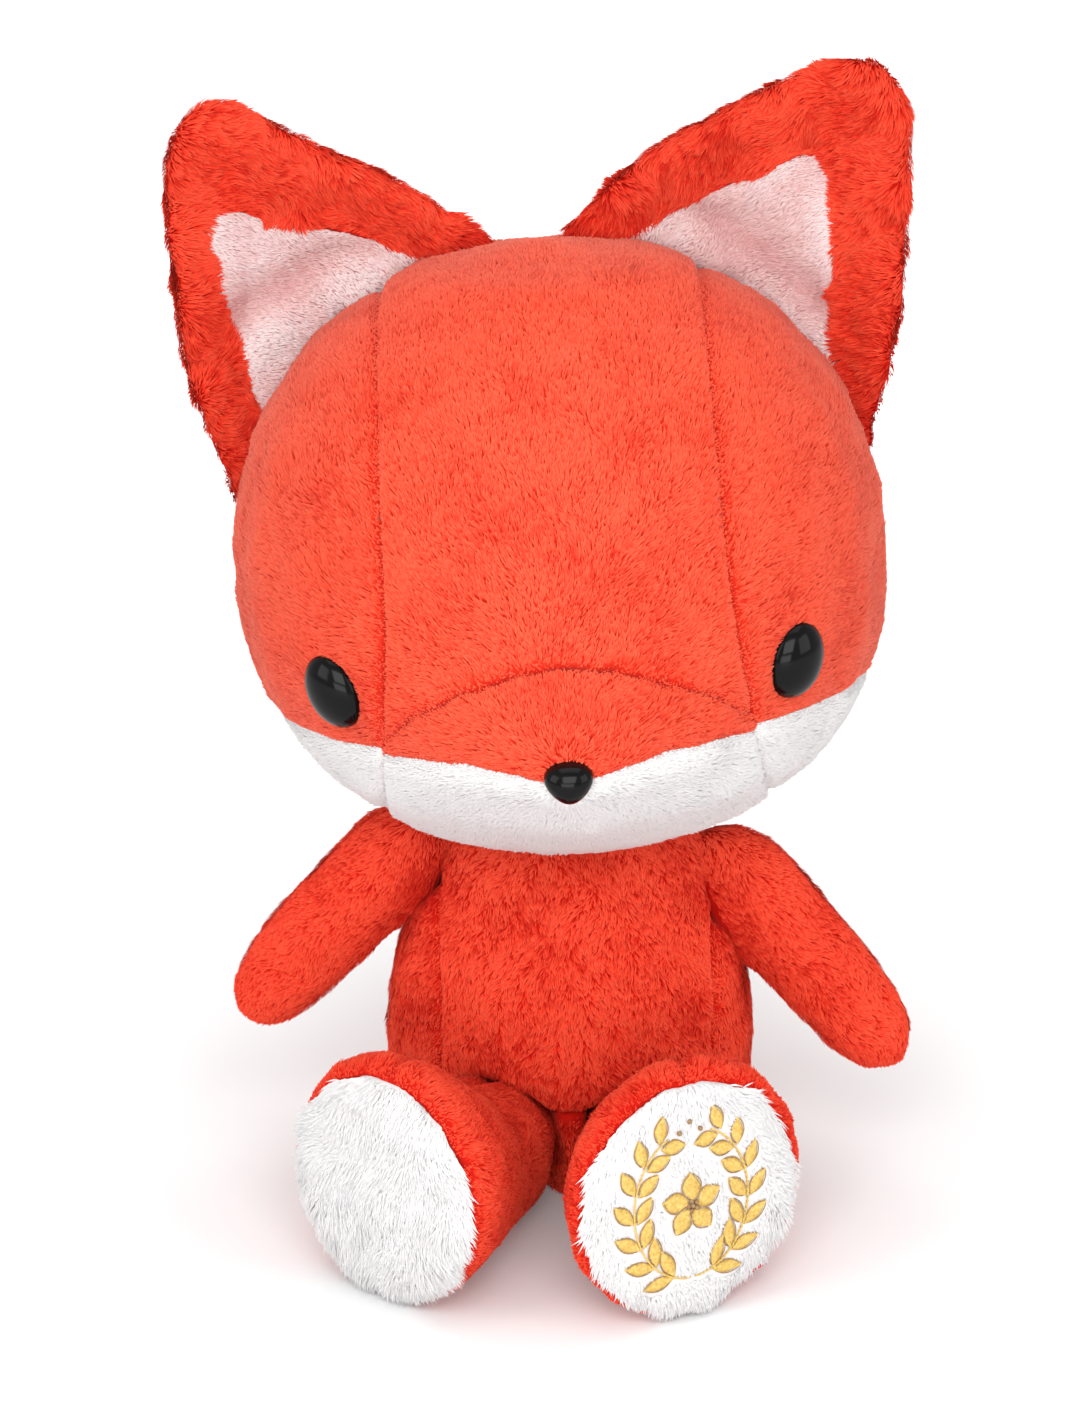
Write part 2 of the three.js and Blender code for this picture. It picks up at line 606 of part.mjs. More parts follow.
// Everything behind the middle of the ear, moved by a gap.
function behindEar(gap, aside) {
  const columns = earLayerShares.length;
  const rows = earLayerRingShares.length;
  const positions = [];
  for (const back of [false, true])
    for (const share of earLayerRingShares)
      earLayerShares.forEach((across, i) => {
        const half = earHalfWidth * Math.max(earWidth(share), earWidthShares.at(-1)[1]);
        const runOn = i === 0 || i === columns - 1 ? earLayerEndShare : 1;
        const y = earMiddle(Math.min(1, Math.abs(across)), share) + gap;
        positions.push(half * across * runOn - aside(share), back ? cutReach : y, share * earHeight);
      });
  const index = [];
  const on = (layer, j, i) => (layer * rows + j) * columns + i;
  const quad = (a, b, c, d) => index.push(a, b, c, a, c, d);
  for (let j = 0; j < rows - 1; j++) {
    for (let i = 0; i < columns - 1; i++) {
      quad(on(0, j, i), on(0, j, i + 1), on(0, j + 1, i + 1), on(0, j + 1, i));
      quad(on(1, j, i), on(1, j + 1, i), on(1, j + 1, i + 1), on(1, j, i + 1));
    }
    quad(on(0, j, 0), on(0, j + 1, 0), on(1, j + 1, 0), on(1, j, 0));
    quad(on(0, j + 1, columns - 1), on(0, j, columns - 1), on(1, j, columns - 1), on(1, j + 1, columns - 1));
  }
  for (let i = 0; i < columns - 1; i++) {
    quad(on(0, 0, i + 1), on(0, 0, i), on(1, 0, i), on(1, 0, i + 1));
    quad(on(0, rows - 1, i), on(0, rows - 1, i + 1), on(1, rows - 1, i + 1), on(1, rows - 1, i));
  }
  return solid(facingOut(positions, index));
}

const baseEnd = (angle) => at(headHalfWidth * Math.sin(angle), earSeamBack, headCrownHeight * Math.cos(angle));
for (const [side, word] of sides) {
  const [earBaseEnd, tipAside, earBow, insertHeight, insertAside] =
    side > 0
      ? [leftEarBaseEnd, leftEarTipAside, leftEarBow, leftInsertHeight, leftInsertTipAside]
      : [rightEarBaseEnd, rightEarTipAside, rightEarBow, rightInsertHeight, rightInsertTipAside];
  const start = baseEnd(earBaseStart);
  const end = baseEnd(earBaseEnd);
  const slope = Math.atan2(start.z - end.z, end.x - start.x);
  const middle = start.clone().lerp(end, 0.5);
  middle.x *= side;
  const earGroup = place(headGroup, "ear_" + word, middle, [0, side * slope, 0], side);
  const aside = (share) => tipAside * share + earBow * Math.sin(Math.PI * Math.min(1, Math.max(0, share)));
  const whole = solid(earForm(earColumns, 0, aside, earRingShares, earBaseShare));
  const insideRings = earRingShares.filter((share) => share > earStuffingStartShare);
  const inside = (depth, start, edge) => solid(earForm(earInsideColumns, depth, aside, insideRings, start, edge));
  const hollow = inside(fabricThickness, earHollowStartShare, earEdgeHalfThickness + restGap);
  const insert = earInsertShares.map(([x, z]) => [x * earHalfWidth - insertAside * z, z * insertHeight]);
  const shell = whole.subtract(hollow);
  const folds = [-earFold, earFold];
  const offHead = (made) =>
    folds.reduce(
      (left, angle) =>
        left.subtract(
          headClear.transform(
            chain(shift(0, 0, earFoldHeight), turnX(angle), shift(0, 0, -earFoldHeight), earGroup.matrix.clone().invert()).elements,
          ),
        ),
      made,
    );
  const lining = shell.subtract(behindEar(-seamGap / 2, aside));
  add(earGroup, "ear_back_" + word, offHead(shell.intersect(behindEar(seamGap / 2, aside))), "redPile");
  add(earGroup, "ear_rim_" + word, offHead(lining.subtract(solid(prism(seamed(insert, -1))))), "redPile");
  add(earGroup, "ear_insert_" + word, offHead(lining.intersect(region(insert))), "pinkPile");
  add(earGroup, "ear_stuffing_" + word, offHead(inside(fabricThickness + restGap, earStuffingStartShare, earEdgeHalfThickness)), "fibre");
}

// ---- Torso

const torsoWidth = profile(torsoWidthShares);
const torsoPoint = (turn, share) =>
  at(
    torsoHalfWidth * torsoWidth(share) * Math.cos(turn),
    torsoHalfDepth * torsoWidth(share) * Math.sin(turn),
    share * torsoLoftHeight - floorFlat,
  );
const torsoForm = (columns, rings) =>
  closedForm(torsoPoint, columns, rings, at(0, 0, -floorFlat), at(0, 0, torsoLoftHeight));
const torsoSkin = torsoForm(torsoColumns, torsoRingShares);
const torso = stuffed(torsoSkin, torsoForm(torsoColumns / 2, torsoInsideRingShares));
const shoulderHeight = (side) => torsoLoftHeight * (side > 0 ? leftShoulderShare : rightShoulderShare);
const roots = [
  [at(0, tailRootBack, tailRootRadius - floorFlat), tailRootRadius, true],
  ...sides.flatMap(([side]) => [
    [at(side * shoulderAside, -shoulderForward, shoulderHeight(side)), armRootRadius, false],
    [at(side * hipAside, -hipForward, legRootRadius - floorFlat), legRootRadius, true],
  ]),
];
const sockets = (gap) =>
  wasm.Manifold.union(roots.map(([centre, radius, stands]) => socket(centre, radius + gap, stands ? radius + gap + floorFlat : 0)));
const belowNeck = solid(prism(rectangle(-cutReach, cutReach, -cutReach, -neckDrop - restGap / 2))).transform(headGroup.matrixWorld.elements);
const crotchWall = solid(
  prism(rectangle(-crotchWallHalfWidth, crotchWallHalfWidth, -cutReach, 2 * legRootRadius + fabricThickness), -cutReach, -hipForward + legRootRadius / 2),
);
const trimmed = (made) => made.intersect(belowNeck).intersect(aboveFloor);
const torsoShell = trimmed(
  torso.outside
    .subtract(sockets(restGap))
    .subtract(torso.hollow.subtract(sockets(restGap + fabricThickness)).subtract(crotchWall)),
);
const torsoClear = solid(inset(torsoSkin, -swingGap)).subtract(sockets(0));

add(fox, "torso_stuffing", trimmed(torso.fibre).subtract(sockets(2 * restGap + fabricThickness)).subtract(crotchWall), "fibre");

const seatSlope = (seatSeamHeightBack - seatSeamHeightFront) / (2 * torsoHalfDepth);
const seatMiddle = (seatSeamHeightBack + seatSeamHeightFront) / 2;
const seatLine = (y, gap) => seatMiddle + y * seatSlope + gap;
const fromSide = (outline) => solid(moved(prism(outline), turnZ(Math.PI / 2)));
const underSeat = (gap) =>
  fromSide([[-cutReach, -cutReach], [cutReach, -cutReach], [cutReach, seatLine(cutReach, gap)], [-cutReach, seatLine(-cutReach, gap)]]);
const upperTorso = torsoShell.subtract(underSeat(seamGap / 2));
add(fox, "seat_panel", torsoShell.intersect(underSeat(-seamGap / 2)), "redPile");
const addTorsoPanel = (name, left, right, low, high) =>
  add(fox, name, upperTorso.intersect(region(rectangle(left, right, bottom, top), low, high)), "redPile");
const sideSeamEnd = torsoBackSeam - seamGap / 2;
addTorsoPanel("tummy_panel", -torsoRightSeam, torsoLeftSeam, -cutReach, sideSeamEnd);
addTorsoPanel("torso_side_panel_left", torsoLeftSeam, cutReach, -cutReach, sideSeamEnd);
addTorsoPanel("torso_side_panel_right", -cutReach, -torsoRightSeam, -cutReach, sideSeamEnd);
addTorsoPanel("torso_back_panel", -cutReach, cutReach, torsoBackSeam + seamGap / 2, cutReach);

// ---- Arms

const armWidth = profile(armWidthShares);
const armForm = (columns, rings) =>
  limb(columns, rings, {
    radius: (share) => armRootRadius * armWidth(share),
    root: armRootRadius,
    length: armLength,
    tip: 0,
    place: (run, radius, turn, share) =>
      at(run, radius * lerp(1, armDepthShare, smoothstep(share, 0, armFlatShare)) * Math.cos(turn), radius * Math.sin(turn)),
  });
const arm = stuffed(armForm(armColumns, armRingShares), armForm(armColumns / 2, armInsideRingShares));
for (const [side, word] of sides) {
  const [droop, lean] = side > 0 ? [leftArmDroop, leftArmLean] : [rightArmDroop, rightArmLean];
  const shoulder = at(side * shoulderAside, -shoulderForward, shoulderHeight(side));
  const armGroup = place(fox, "arm_" + word, shoulder, [0, side * droop, -side * lean], side);
  const swings = armSwingShares.map((share) => share * armRaise);
  const offTorso = (made) => giveWay(made, armGroup.matrix, torsoClear, shoulder, at(0, -side, 0), swings);
  const half = (low, high) => arm.shell.intersect(solid(prism(rectangle(bottom, top, bottom, top), low, high)));
  add(armGroup, "arm_front_" + word, offTorso(half(-cutReach, -seamGap / 2)), "redPile");
  add(armGroup, "arm_back_" + word, offTorso(half(seamGap / 2, cutReach)), "redPile");
  add(armGroup, "arm_stuffing_" + word, offTorso(arm.fibre), "fibre");
}

// ---- Legs

const legRadius = profile(legRadiusShares);
const legMiddle = (share) =>
  (share > 0 ? footRadius * Math.max(...legRingShares.filter((ring) => ring <= share).map(legRadius), legRadius(share)) : legRootRadius) - floorFlat;
const soleSlant = (turn, lean, kept) => {
  const slant = new THREE.Matrix4();
  slant.elements[1] = kept * Math.tan(turn);
  slant.elements[9] = kept * Math.tan(lean);
  return slant;
};
const legForm = (columns, rings, turn0, lean) =>
  limb(columns, rings, {
    radius: (share) => footRadius * legRadius(share),
    root: legRootRadius,
    length: legLength,
    tip: soleDome,
    place: (run, radius, turn, share) => {
      const flat = at(radius * Math.cos(turn), 0, radius * Math.sin(turn));
      flat.applyMatrix4(soleSlant(turn0, lean, smoothstep(share, ...soleTurnShares)));
      return flat.add(at(0, -run, legMiddle(share)));
    },
  });
for (const [side, word] of sides) {
  const [spread, turn0, lean] = side > 0 ? [leftLegSpread, leftSoleTurn, leftSoleLean] : [rightLegSpread, rightSoleTurn, rightSoleLean];
  const leg = stuffed(legForm(legColumns, legRingShares, turn0, lean), legForm(legColumns / 2, legInsideRingShares, turn0, lean));
  const hip = at(side * hipAside, -hipForward, 0);
  const legGroup = place(fox, "leg_" + word, hip, [0, 0, side * spread], side);
  const slanted = (gap) =>
    solid(
      moved(
        prism(rectangle(-cutReach, cutReach, -cutReach, cutReach), -cutReach, -legLength + soleSeamSetback + gap),
        chain(shift(0, 0, footRadius), soleSlant(turn0, lean, 1), shift(0, 0, -footRadius)),
      ),
    );
  const offTorso = (made) =>
    giveWay(made.intersect(aboveFloor), legGroup.matrix, torsoClear, hip, at(0, 0, side), [0, legOpening]);
  const sleeve = leg.shell.subtract(slanted(seamGap / 2));
  add(legGroup, "sole_" + word, offTorso(leg.shell.intersect(slanted(-seamGap / 2))), "whitePile");
  add(legGroup, "leg_outer_" + word, offTorso(sleeve.intersect(region(rectangle(0, top, bottom, top)))), "redPile");
  add(legGroup, "leg_inner_" + word, offTorso(sleeve.intersect(region(rectangle(bottom, 0, bottom, top)))), "redPile");
  add(legGroup, "leg_stuffing_" + word, offTorso(leg.fibre), "fibre");
}

// ---- Tail

const tailRadiusAt = profile(tailRadiusShares);
const tailForm = (columns, rings) =>
  limb(columns, rings, {
    radius: (share) => tailRadius * tailRadiusAt(share),
    root: tailRootRadius,
    length: tailLength,
    tip: 0,
    place: (run, radius, turn, share) => {
      const middle = tailRadius * Math.max(tailRadiusAt(share), tailTipHeightShare);
      return at(radius * Math.cos(turn), run, middle - floorFlat + radius * Math.sin(turn));
    },
  });
const tail = stuffed(tailForm(tailColumns, tailRingShares), tailForm(tailColumns / 2, tailInsideRingShares));
const tailGroup = place(fox, "tail", at(0, tailRootBack, 0), [0, 0, tailTurn]);
const tailSeam = tailTipSeamShare * tailLength;
for (const [side, word] of sides) {
  const half = rectangle(0, cutReach, bottom, top).map(([x, z]) => [side * x, z]);
  const piece = (low, high) => tail.shell.intersect(region(half, low, high)).intersect(aboveFloor);
  add(tailGroup, "tail_" + word, piece(-cutReach, tailSeam - seamGap / 2), "redPile");
  add(tailGroup, "tail_tip_" + word, piece(tailSeam + seamGap / 2, cutReach), "whitePile");
}
add(tailGroup, "tail_stuffing", tail.fibre.intersect(aboveFloor), "fibre");

export default fox;
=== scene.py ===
# %% [markdown]
# # A seated plush fox
# The toy is sewn from short-pile fabric, filled with loose fibre, and has three glossy black buttons for
# its eyes and nose.
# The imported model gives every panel's place. This file gives each panel its stuffed shape, its seams and
# its pile.
# Everything is in metres; one millimetre is written as MM.

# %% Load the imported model
import math
from contextlib import contextmanager

import bpy
import numpy as np
from mathutils import Matrix, Vector
from mathutils.bvhtree import BVHTree


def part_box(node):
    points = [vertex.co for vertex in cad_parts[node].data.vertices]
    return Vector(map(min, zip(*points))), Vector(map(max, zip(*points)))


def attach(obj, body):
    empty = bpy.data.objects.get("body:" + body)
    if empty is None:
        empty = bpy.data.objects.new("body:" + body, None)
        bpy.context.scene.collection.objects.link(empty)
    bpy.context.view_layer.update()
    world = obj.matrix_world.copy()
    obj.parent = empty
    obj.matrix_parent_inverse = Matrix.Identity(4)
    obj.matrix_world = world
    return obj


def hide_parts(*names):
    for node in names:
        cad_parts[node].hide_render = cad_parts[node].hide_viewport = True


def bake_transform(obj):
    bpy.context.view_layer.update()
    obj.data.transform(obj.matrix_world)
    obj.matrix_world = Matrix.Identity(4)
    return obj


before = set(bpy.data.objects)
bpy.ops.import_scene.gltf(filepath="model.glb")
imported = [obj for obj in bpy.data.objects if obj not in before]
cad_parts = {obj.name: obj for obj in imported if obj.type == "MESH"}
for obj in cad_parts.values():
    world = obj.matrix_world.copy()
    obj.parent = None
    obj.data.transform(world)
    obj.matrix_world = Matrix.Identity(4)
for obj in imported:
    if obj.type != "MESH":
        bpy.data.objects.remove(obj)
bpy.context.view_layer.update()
MM = 0.001

# %% [markdown]
# ## Working by hand, in code
# An operator acts on whatever is selected, so each step first chooses its pieces.
# Small helpers read and write all points of a mesh at once, which is quicker than one at a time.

# %% Helpers for choosing pieces and moving points
def choose(*pieces):
    bpy.ops.object.select_all(action="DESELECT")
    for piece in pieces:
        piece.select_set(True)
    bpy.context.view_layer.objects.active = pieces[-1]


@contextmanager
def all_in_edit_mode():
    bpy.ops.object.mode_set(mode="EDIT")
    bpy.ops.mesh.select_all(action="SELECT")
    yield
    bpy.ops.object.mode_set(mode="OBJECT")


def finish_modifier(piece, modifier):
    choose(piece)
    bpy.ops.object.modifier_apply(modifier=modifier.name)


def read(items, name, width=3, kind=np.float32):
    found = np.empty(len(items) * width, kind)
    items.foreach_get(name, found)
    return found.reshape(-1, width) if width > 1 else found


def points(mesh):
    return read(mesh.vertices, "co").astype(np.float64)


def normals(mesh):
    return read(mesh.vertex_normals, "vector").astype(np.float64)


def move_points(mesh, places):
    mesh.vertices.foreach_set("co", places.astype(np.float32).ravel())
    mesh.update()


def falloff(distance, reach):
    """1 at no distance, and next to nothing beyond twice the reach, which is in millimetres."""
    return np.exp(-((distance / (reach * MM)) ** 2))


def unit(rows):
    return rows / np.maximum(np.linalg.norm(rows, axis=1, keepdims=True), 1e-12)


# %% [markdown]
# ## Uneven nature
# Brushed pile never lies quite the same way twice, so its lean, length and tone drift slowly over the fabric.
# A sum of a few long waves with fixed, seeded directions drifts like that, and gives the same toy on
# every run.

# %% A slow drift over space
def drift(places, size, seed, waves=9):
    draw = np.random.default_rng(seed)
    ways = unit(draw.normal(size=(waves, 3))) * (2 * math.pi / size) * draw.uniform(0.6, 1.5, (waves, 1))
    phases = draw.uniform(0, 2 * math.pi, waves)
    return np.sin(places @ ways.T + phases).sum(1) * math.sqrt(2 / waves)


# %% [markdown]
# ## Helpers for materials
# Every material starts from a Principled shader. A colour ramp, a change of range and a fine noise on the
# piece's own coordinates are all that they need besides.

# %% Small pieces of node tree
def new_material(name, settings):
    material = bpy.data.materials.new(name)
    material.use_nodes = True
    nodes = material.node_tree.nodes
    shader = nodes["Principled BSDF"]
    for socket, value in settings.items():
        shader.inputs[socket].default_value = value
    return material, nodes, material.node_tree.links.new, shader


def ramp(nodes, link, source, places):
    made = nodes.new("ShaderNodeValToRGB")
    while len(made.color_ramp.elements) < len(places):
        made.color_ramp.elements.new(0.5)
    for element, (place, colour) in zip(made.color_ramp.elements, places):
        element.position = place
        element.color = (*colour, 1)
    link(source, made.inputs["Fac"])
    return made.outputs["Color"]


def spread(nodes, link, source, low, high, start=0.0, end=1.0):
    """A value that runs from low to high while source runs from start to end."""
    made = nodes.new("ShaderNodeMapRange")
    made.inputs["From Min"].default_value, made.inputs["From Max"].default_value = start, end
    made.inputs["To Min"].default_value, made.inputs["To Max"].default_value = low, high
    link(source, made.inputs["Value"])
    return made.outputs["Result"]


def fine_noise(nodes, link, scale, detail=2):
    where = nodes.new("ShaderNodeTexCoord")
    made = nodes.new("ShaderNodeTexNoise")
    made.inputs["Scale"].default_value = scale
    made.inputs["Detail"].default_value = detail
    link(where.outputs["Object"], made.inputs["Vector"])
    return made.outputs["Fac"]


# %% [markdown]
# ## Pile materials
# Each tuft's colour runs from dark at its root to pale at its tip. That is painted shade: little light gets in
# at the roots of short pile, and its tips catch it.
# Each tuft carries its own place on a small map: across the map is the tuft's tone, and up the map goes
# from root to tip. The very bottom of the map is painted shade for the crease of a shut seam.
# One colour ramp up the map shades every tuft and a second one across it sets its tone. Tone differs at
# random, and near a facing neighbour it drops as painted shade, redder as well as darker, for light that
# has bounced there from red to red.
# Sheen gives the soft glow at grazing angles. The fibres are thin, so some light comes through their tips
# from behind.

# %% Make a pile material
THIN = 0.3  # how much of a tip is lit from behind


def pile_material(name, colours, tones, sheen, sheen_tint, glow, bend=0.5):
    soft = {
        "Specular IOR Level": 0.08,
        "Sheen Weight": sheen,
        "Sheen Roughness": 0.45,
        "Sheen Tint": (*sheen_tint, 1),
    }
    material, nodes, link, shader = new_material(name, soft)
    tuft = nodes.new("ShaderNodeUVMap")
    tuft.uv_map = "OFBake"
    split = nodes.new("ShaderNodeSeparateXYZ")
    link(tuft.outputs["UV"], split.inputs[0])
    tone, height = split.outputs["X"], split.outputs["Y"]
    toned = nodes.new("ShaderNodeVectorMath")
    toned.operation = "MULTIPLY"
    stops = list(zip((0.0, 0.12, bend, 1.0), colours))
    link(ramp(nodes, link, height, stops), toned.inputs[0])
    link(ramp(nodes, link, tone, tones), toned.inputs[1])
    flecked = nodes.new("ShaderNodeVectorMath")
    flecked.operation = "SCALE"
    link(toned.outputs["Vector"], flecked.inputs["Vector"])
    fleck = spread(nodes, link, fine_noise(nodes, link, 900), 0.93, 1.0, start=0.3, end=0.7)
    link(fleck, flecked.inputs["Scale"])
    link(flecked.outputs["Vector"], shader.inputs["Base Color"])
    link(spread(nodes, link, height, 0.95, 0.7), shader.inputs["Roughness"])
    through = nodes.new("ShaderNodeBsdfTranslucent")
    through.inputs["Color"].default_value = (*glow, 1)
    mixed = nodes.new("ShaderNodeMixShader")
    link(spread(nodes, link, height, 0.0, THIN, start=0.2), mixed.inputs[0])
    link(shader.outputs["BSDF"], mixed.inputs[1])
    link(through.outputs["BSDF"], mixed.inputs[2])
    link(mixed.outputs["Shader"], nodes["Material Output"].inputs["Surface"])
    return material


RED_TONES = [
    (0.0, (0.64, 0.22, 0.22)),
    (0.3, (0.86, 0.58, 0.56)),
    (0.6, (0.97, 0.92, 0.92)),
    (1.0, (1.0, 1.0, 1.0)),
]
PALE_TONES = [(0.0, (0.80, 0.76, 0.76)), (0.4, (0.95, 0.94, 0.94)), (1.0, (1.0, 1.0, 1.0))]
PILE = {
    "red": pile_material(
        "red short pile",
        [(0.52, 0.016, 0.006), (0.66, 0.032, 0.013), (0.87, 0.076, 0.034), (1.0, 0.195, 0.102)],
        RED_TONES,
        0.3,
        (1.0, 0.5, 0.4),
        (1.0, 0.22, 0.12),
    ),
    # Every red part but the head takes this darker, redder copy of the red pile: painted shade.
    "shaded red": pile_material(
        "red short pile, shaded copy",
        [(0.50, 0.010, 0.004), (0.58, 0.014, 0.006), (0.78, 0.036, 0.015), (0.98, 0.145, 0.072)],
        RED_TONES,
        0.12,
        (1.0, 0.42, 0.3),
        (1.0, 0.10, 0.04),
        bend=0.45,
    ),
    "white": pile_material(
        "white short pile",
        [(0.62, 0.59, 0.58), (0.82, 0.80, 0.795), (0.90, 0.89, 0.888), (0.94, 0.94, 0.94)],
        PALE_TONES,
        0.15,
        (1.0, 1.0, 1.0),
        (0.94, 0.93, 0.93),
    ),
    "pink": pile_material(
        "pink short pile",
        [(0.72, 0.50, 0.49), (0.80, 0.62, 0.61), (0.86, 0.72, 0.71), (0.90, 0.80, 0.79)],
        [
            (0.0, (0.76, 0.46, 0.45)),
            (0.45, (0.90, 0.70, 0.69)),
            (0.85, (0.98, 0.95, 0.95)),
            (1.0, (1.0, 1.0, 1.0)),
        ],
        0.1,
        (1.0, 0.9, 0.9),
        (0.95, 0.72, 0.70),
    ),
}

# %% [markdown]
# ## The stuffed forms
# Eight bags of fabric make the toy: head, two ears, torso, two arms, two legs and tail. Each is listed
# with its panels and the colour of their pile.
# A padded shape comes from its packed panels and stuffing, grown together into one skin by a voxel remesh
# and then blown up like a balloon, held at its seams.
# Ears, legs and tail are soft where they are sewn on. For each, a table lists the body that it hangs on and
# a first and a last place in millimetres; the script only lists these, and leaves the pieces unparented.

# %% The forms and their panels
BENDS = {
    "ear_left": ("head", (38.9, 8, 213.9), (52.9, 8, 233.4)),
    "ear_right": ("head", (-51.9, 8, 203.0), (-69.5, 8, 219.3)),
    "leg_left": ("torso", (20.5, -25, 17), (20.5, -60, 17)),
    "leg_right": ("torso", (-20.5, -25, 17), (-20.5, -60, 17)),
    "tail": ("torso", (0, 34, 8), (0, 62, 14)),
}


def pair(side):
    return {
        "ear_" + side: {
            "body": "ear_" + side,
            "panels": {"ear_back_" + side: "red", "ear_rim_" + side: "red", "ear_insert_" + side: "pink"},
            "filling": ["ear_stuffing_" + side],
            "voxel": 2.6,
            "swell": 0.8,
            "crease": 0.3,
        },
        "arm_" + side: {
            "body": "arm_" + side,
            "panels": {"arm_front_" + side: "red", "arm_back_" + side: "red"},
            "filling": ["arm_stuffing_" + side],
            "voxel": 3.0,
            "swell": 1.2,
            "crease": 0.6,
        },
        "leg_" + side: {
            "body": "leg_" + side,
            "panels": {"leg_outer_" + side: "red", "leg_inner_" + side: "red", "sole_" + side: "white"},
            "filling": ["leg_stuffing_" + side],
            "voxel": 3.2,
            "swell": 1.4,
            "crease": 0.8,
        },
    }


FORMS = {
    "head": {
        "body": "head",
        "panels": {
            "crown_panel": "red",
            "muzzle_panel": "red",
            "chin_panel": "white",
            "side_panel_left": "red",
            "side_panel_right": "red",
            "cheek_panel_left": "white",
            "cheek_panel_right": "white",
            "back_panel_left": "red",
            "back_panel_right": "red",
        },
        "filling": ["head_stuffing"],
        "voxel": 4.0,
        "swell": 1.8,
        "crease": 1.0,
    },
    **pair("left"),
    **pair("right"),
    "torso": {
        "body": "torso",
        "panels": {
            "tummy_panel": "red",
            "torso_side_panel_left": "red",
            "torso_side_panel_right": "red",
            "torso_back_panel": "red",
            "seat_panel": "red",
        },
        "filling": ["torso_stuffing"],
        "voxel": 3.4,
        "swell": 1.6,
        "crease": 1.1,
    },
    "tail": {
        "body": "tail",
        "panels": {
            "tail_left": "red",
            "tail_right": "red",
            "tail_tip_left": "white",
            "tail_tip_right": "white",
        },
        "filling": ["tail_stuffing"],
        "voxel": 3.0,
        "swell": 1.2,
        "crease": 0.8,
    },
}

# %% [markdown]
# ## Finding the seams
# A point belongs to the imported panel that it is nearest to, and it lies on a seam where two panels are
# equally near.
# The difference between its distances to the nearest two is therefore its distance from the seam.

# %% Measure how far points are from each panel
def surface_tree(mesh):
    mesh.calc_loop_triangles()
    corners = read(mesh.loop_triangles, "vertices", 3, np.int32)
    return BVHTree.FromPolygons([v.co[:] for v in mesh.vertices], corners.tolist())


def panel_trees(panels):
    return [surface_tree(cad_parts[panel].data) for panel in panels]


def panel_distances(trees, places):
    rows = [Vector(p) for p in places.tolist()]
    return np.array([[tree.find_nearest(p)[3] for p in rows] for tree in trees])


def seam_distance(distances):
    two = np.partition(distances, 1, axis=0)[:2]
    return two[1] - two[0]


# %% [markdown]
# ## From panels to one skin
# The panels lie a hair's breadth apart. Fattening each by a third of a millimetre closes the gaps, and a
# voxel remesh then melts the whole bag into one closed skin.
# A little smoothing takes off the facets, and the skin then goes back to the size of its panels, a tenth
# of a millimetre inside them, so that the pile stands on them and not in them.

# %% Melt a form's panels into one skin
INSET = 0.1 * MM  # how far a skin lies inside its packed panels
TUCK = {"ear": 2.8 * MM, "arm": 2.4 * MM}  # how far fabric runs on into the seam with its neighbour
USUAL_TUCK = 1.2 * MM
FLOOR_GAP = 0.3 * MM


def melted_skin(name, nodes, voxel, panels, neighbours):
    copies = []
    for node in nodes:
        copy = bpy.data.objects.new(name + "_cut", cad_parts[node].data.copy())
        bpy.context.collection.objects.link(copy)
        copies.append(copy)
    choose(*copies)
    bpy.ops.object.join()
    skin = bpy.context.view_layer.objects.active
    skin.name = name + "_skin"
    skin.data.materials.clear()
    with all_in_edit_mode():
        bpy.ops.mesh.remove_doubles(threshold=0.01 * MM)
        bpy.ops.transform.shrink_fatten(value=0.33 * MM)
    remesh = skin.modifiers.new("Melt", "REMESH")
    remesh.mode = "VOXEL"
    remesh.voxel_size = voxel * MM
    finish_modifier(skin, remesh)
    keep_largest(skin)
    smooth = skin.modifiers.new("Smooth", "SMOOTH")
    smooth.factor = 0.5
    smooth.iterations = 4
    finish_modifier(skin, smooth)
    back_to_size(skin, panel_trees(panels))
    if neighbours:
        tuck_under(skin, panel_trees(neighbours), TUCK.get(name[:3], USUAL_TUCK))
    return skin


def back_to_size(skin, trees, reach=5 * MM):
    """Smoothing shrinks tips and corners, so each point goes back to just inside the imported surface."""
    mesh = skin.data
    places = points(mesh)
    outward = normals(mesh)
    shift = np.zeros(len(places))
    for i, (place, out) in enumerate(zip(places.tolist(), outward.tolist())):
        out = Vector(out)
        start = Vector(place) + out * reach
        hits = [tree.ray_cast(start, -out, reach + 3 * MM)[3] for tree in trees]
        hits = [hit for hit in hits if hit is not None]
        if hits:
            shift[i] = reach - min(hits)
    edges = read(mesh.edges, "vertices", 2, np.int32)
    degree = np.bincount(edges.ravel(), minlength=len(places)).clip(1)
    one, other = edges.T
    for _ in range(3):
        total = np.bincount(one, shift[other], len(places)) + np.bincount(other, shift[one], len(places))
        shift = 0.5 * shift + 0.5 * total / degree
    move_points(mesh, places + outward * (shift - INSET)[:, None])


def tuck_under(skin, trees, run_on):
    """Where a limb or an ear meets its neighbour, its fabric runs on a little way, as it does into a seam."""
    places = points(skin.data)
    outward = normals(skin.data)
    near = panel_distances(trees, places).min(0)
    tucked = falloff(near, 2.6)
    move_points(skin.data, places + outward * (run_on * tucked)[:, None])


def fill_shoulder(skin, side, inward):
    """An arm is sewn in flat under the cheek, so its inner corner and the torso's shoulder run up to meet."""
    low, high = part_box("arm_stuffing_left" if side > 0 else "arm_stuffing_right")
    inner = low.x if side > 0 else high.x
    corner = np.array((inner + side * (2 if inward else -2) * MM, (low.y + high.y) / 2, high.z - 1 * MM))
    places = points(skin.data)
    drawn = falloff(np.linalg.norm(places - corner, axis=1), 9)
    move_points(skin.data, places + drawn[:, None] * np.array((side * (-4.5 if inward else 3.0), 0, 2.2)) * MM)


# Where the valley in an insert starts and ends, in shares of the insert's box.
FOLDS = {"ear_right": ((0.12, 0.56), (0.68, 0.86)), "ear_left": ((0.35, 0.80), (0.92, 0.38))}


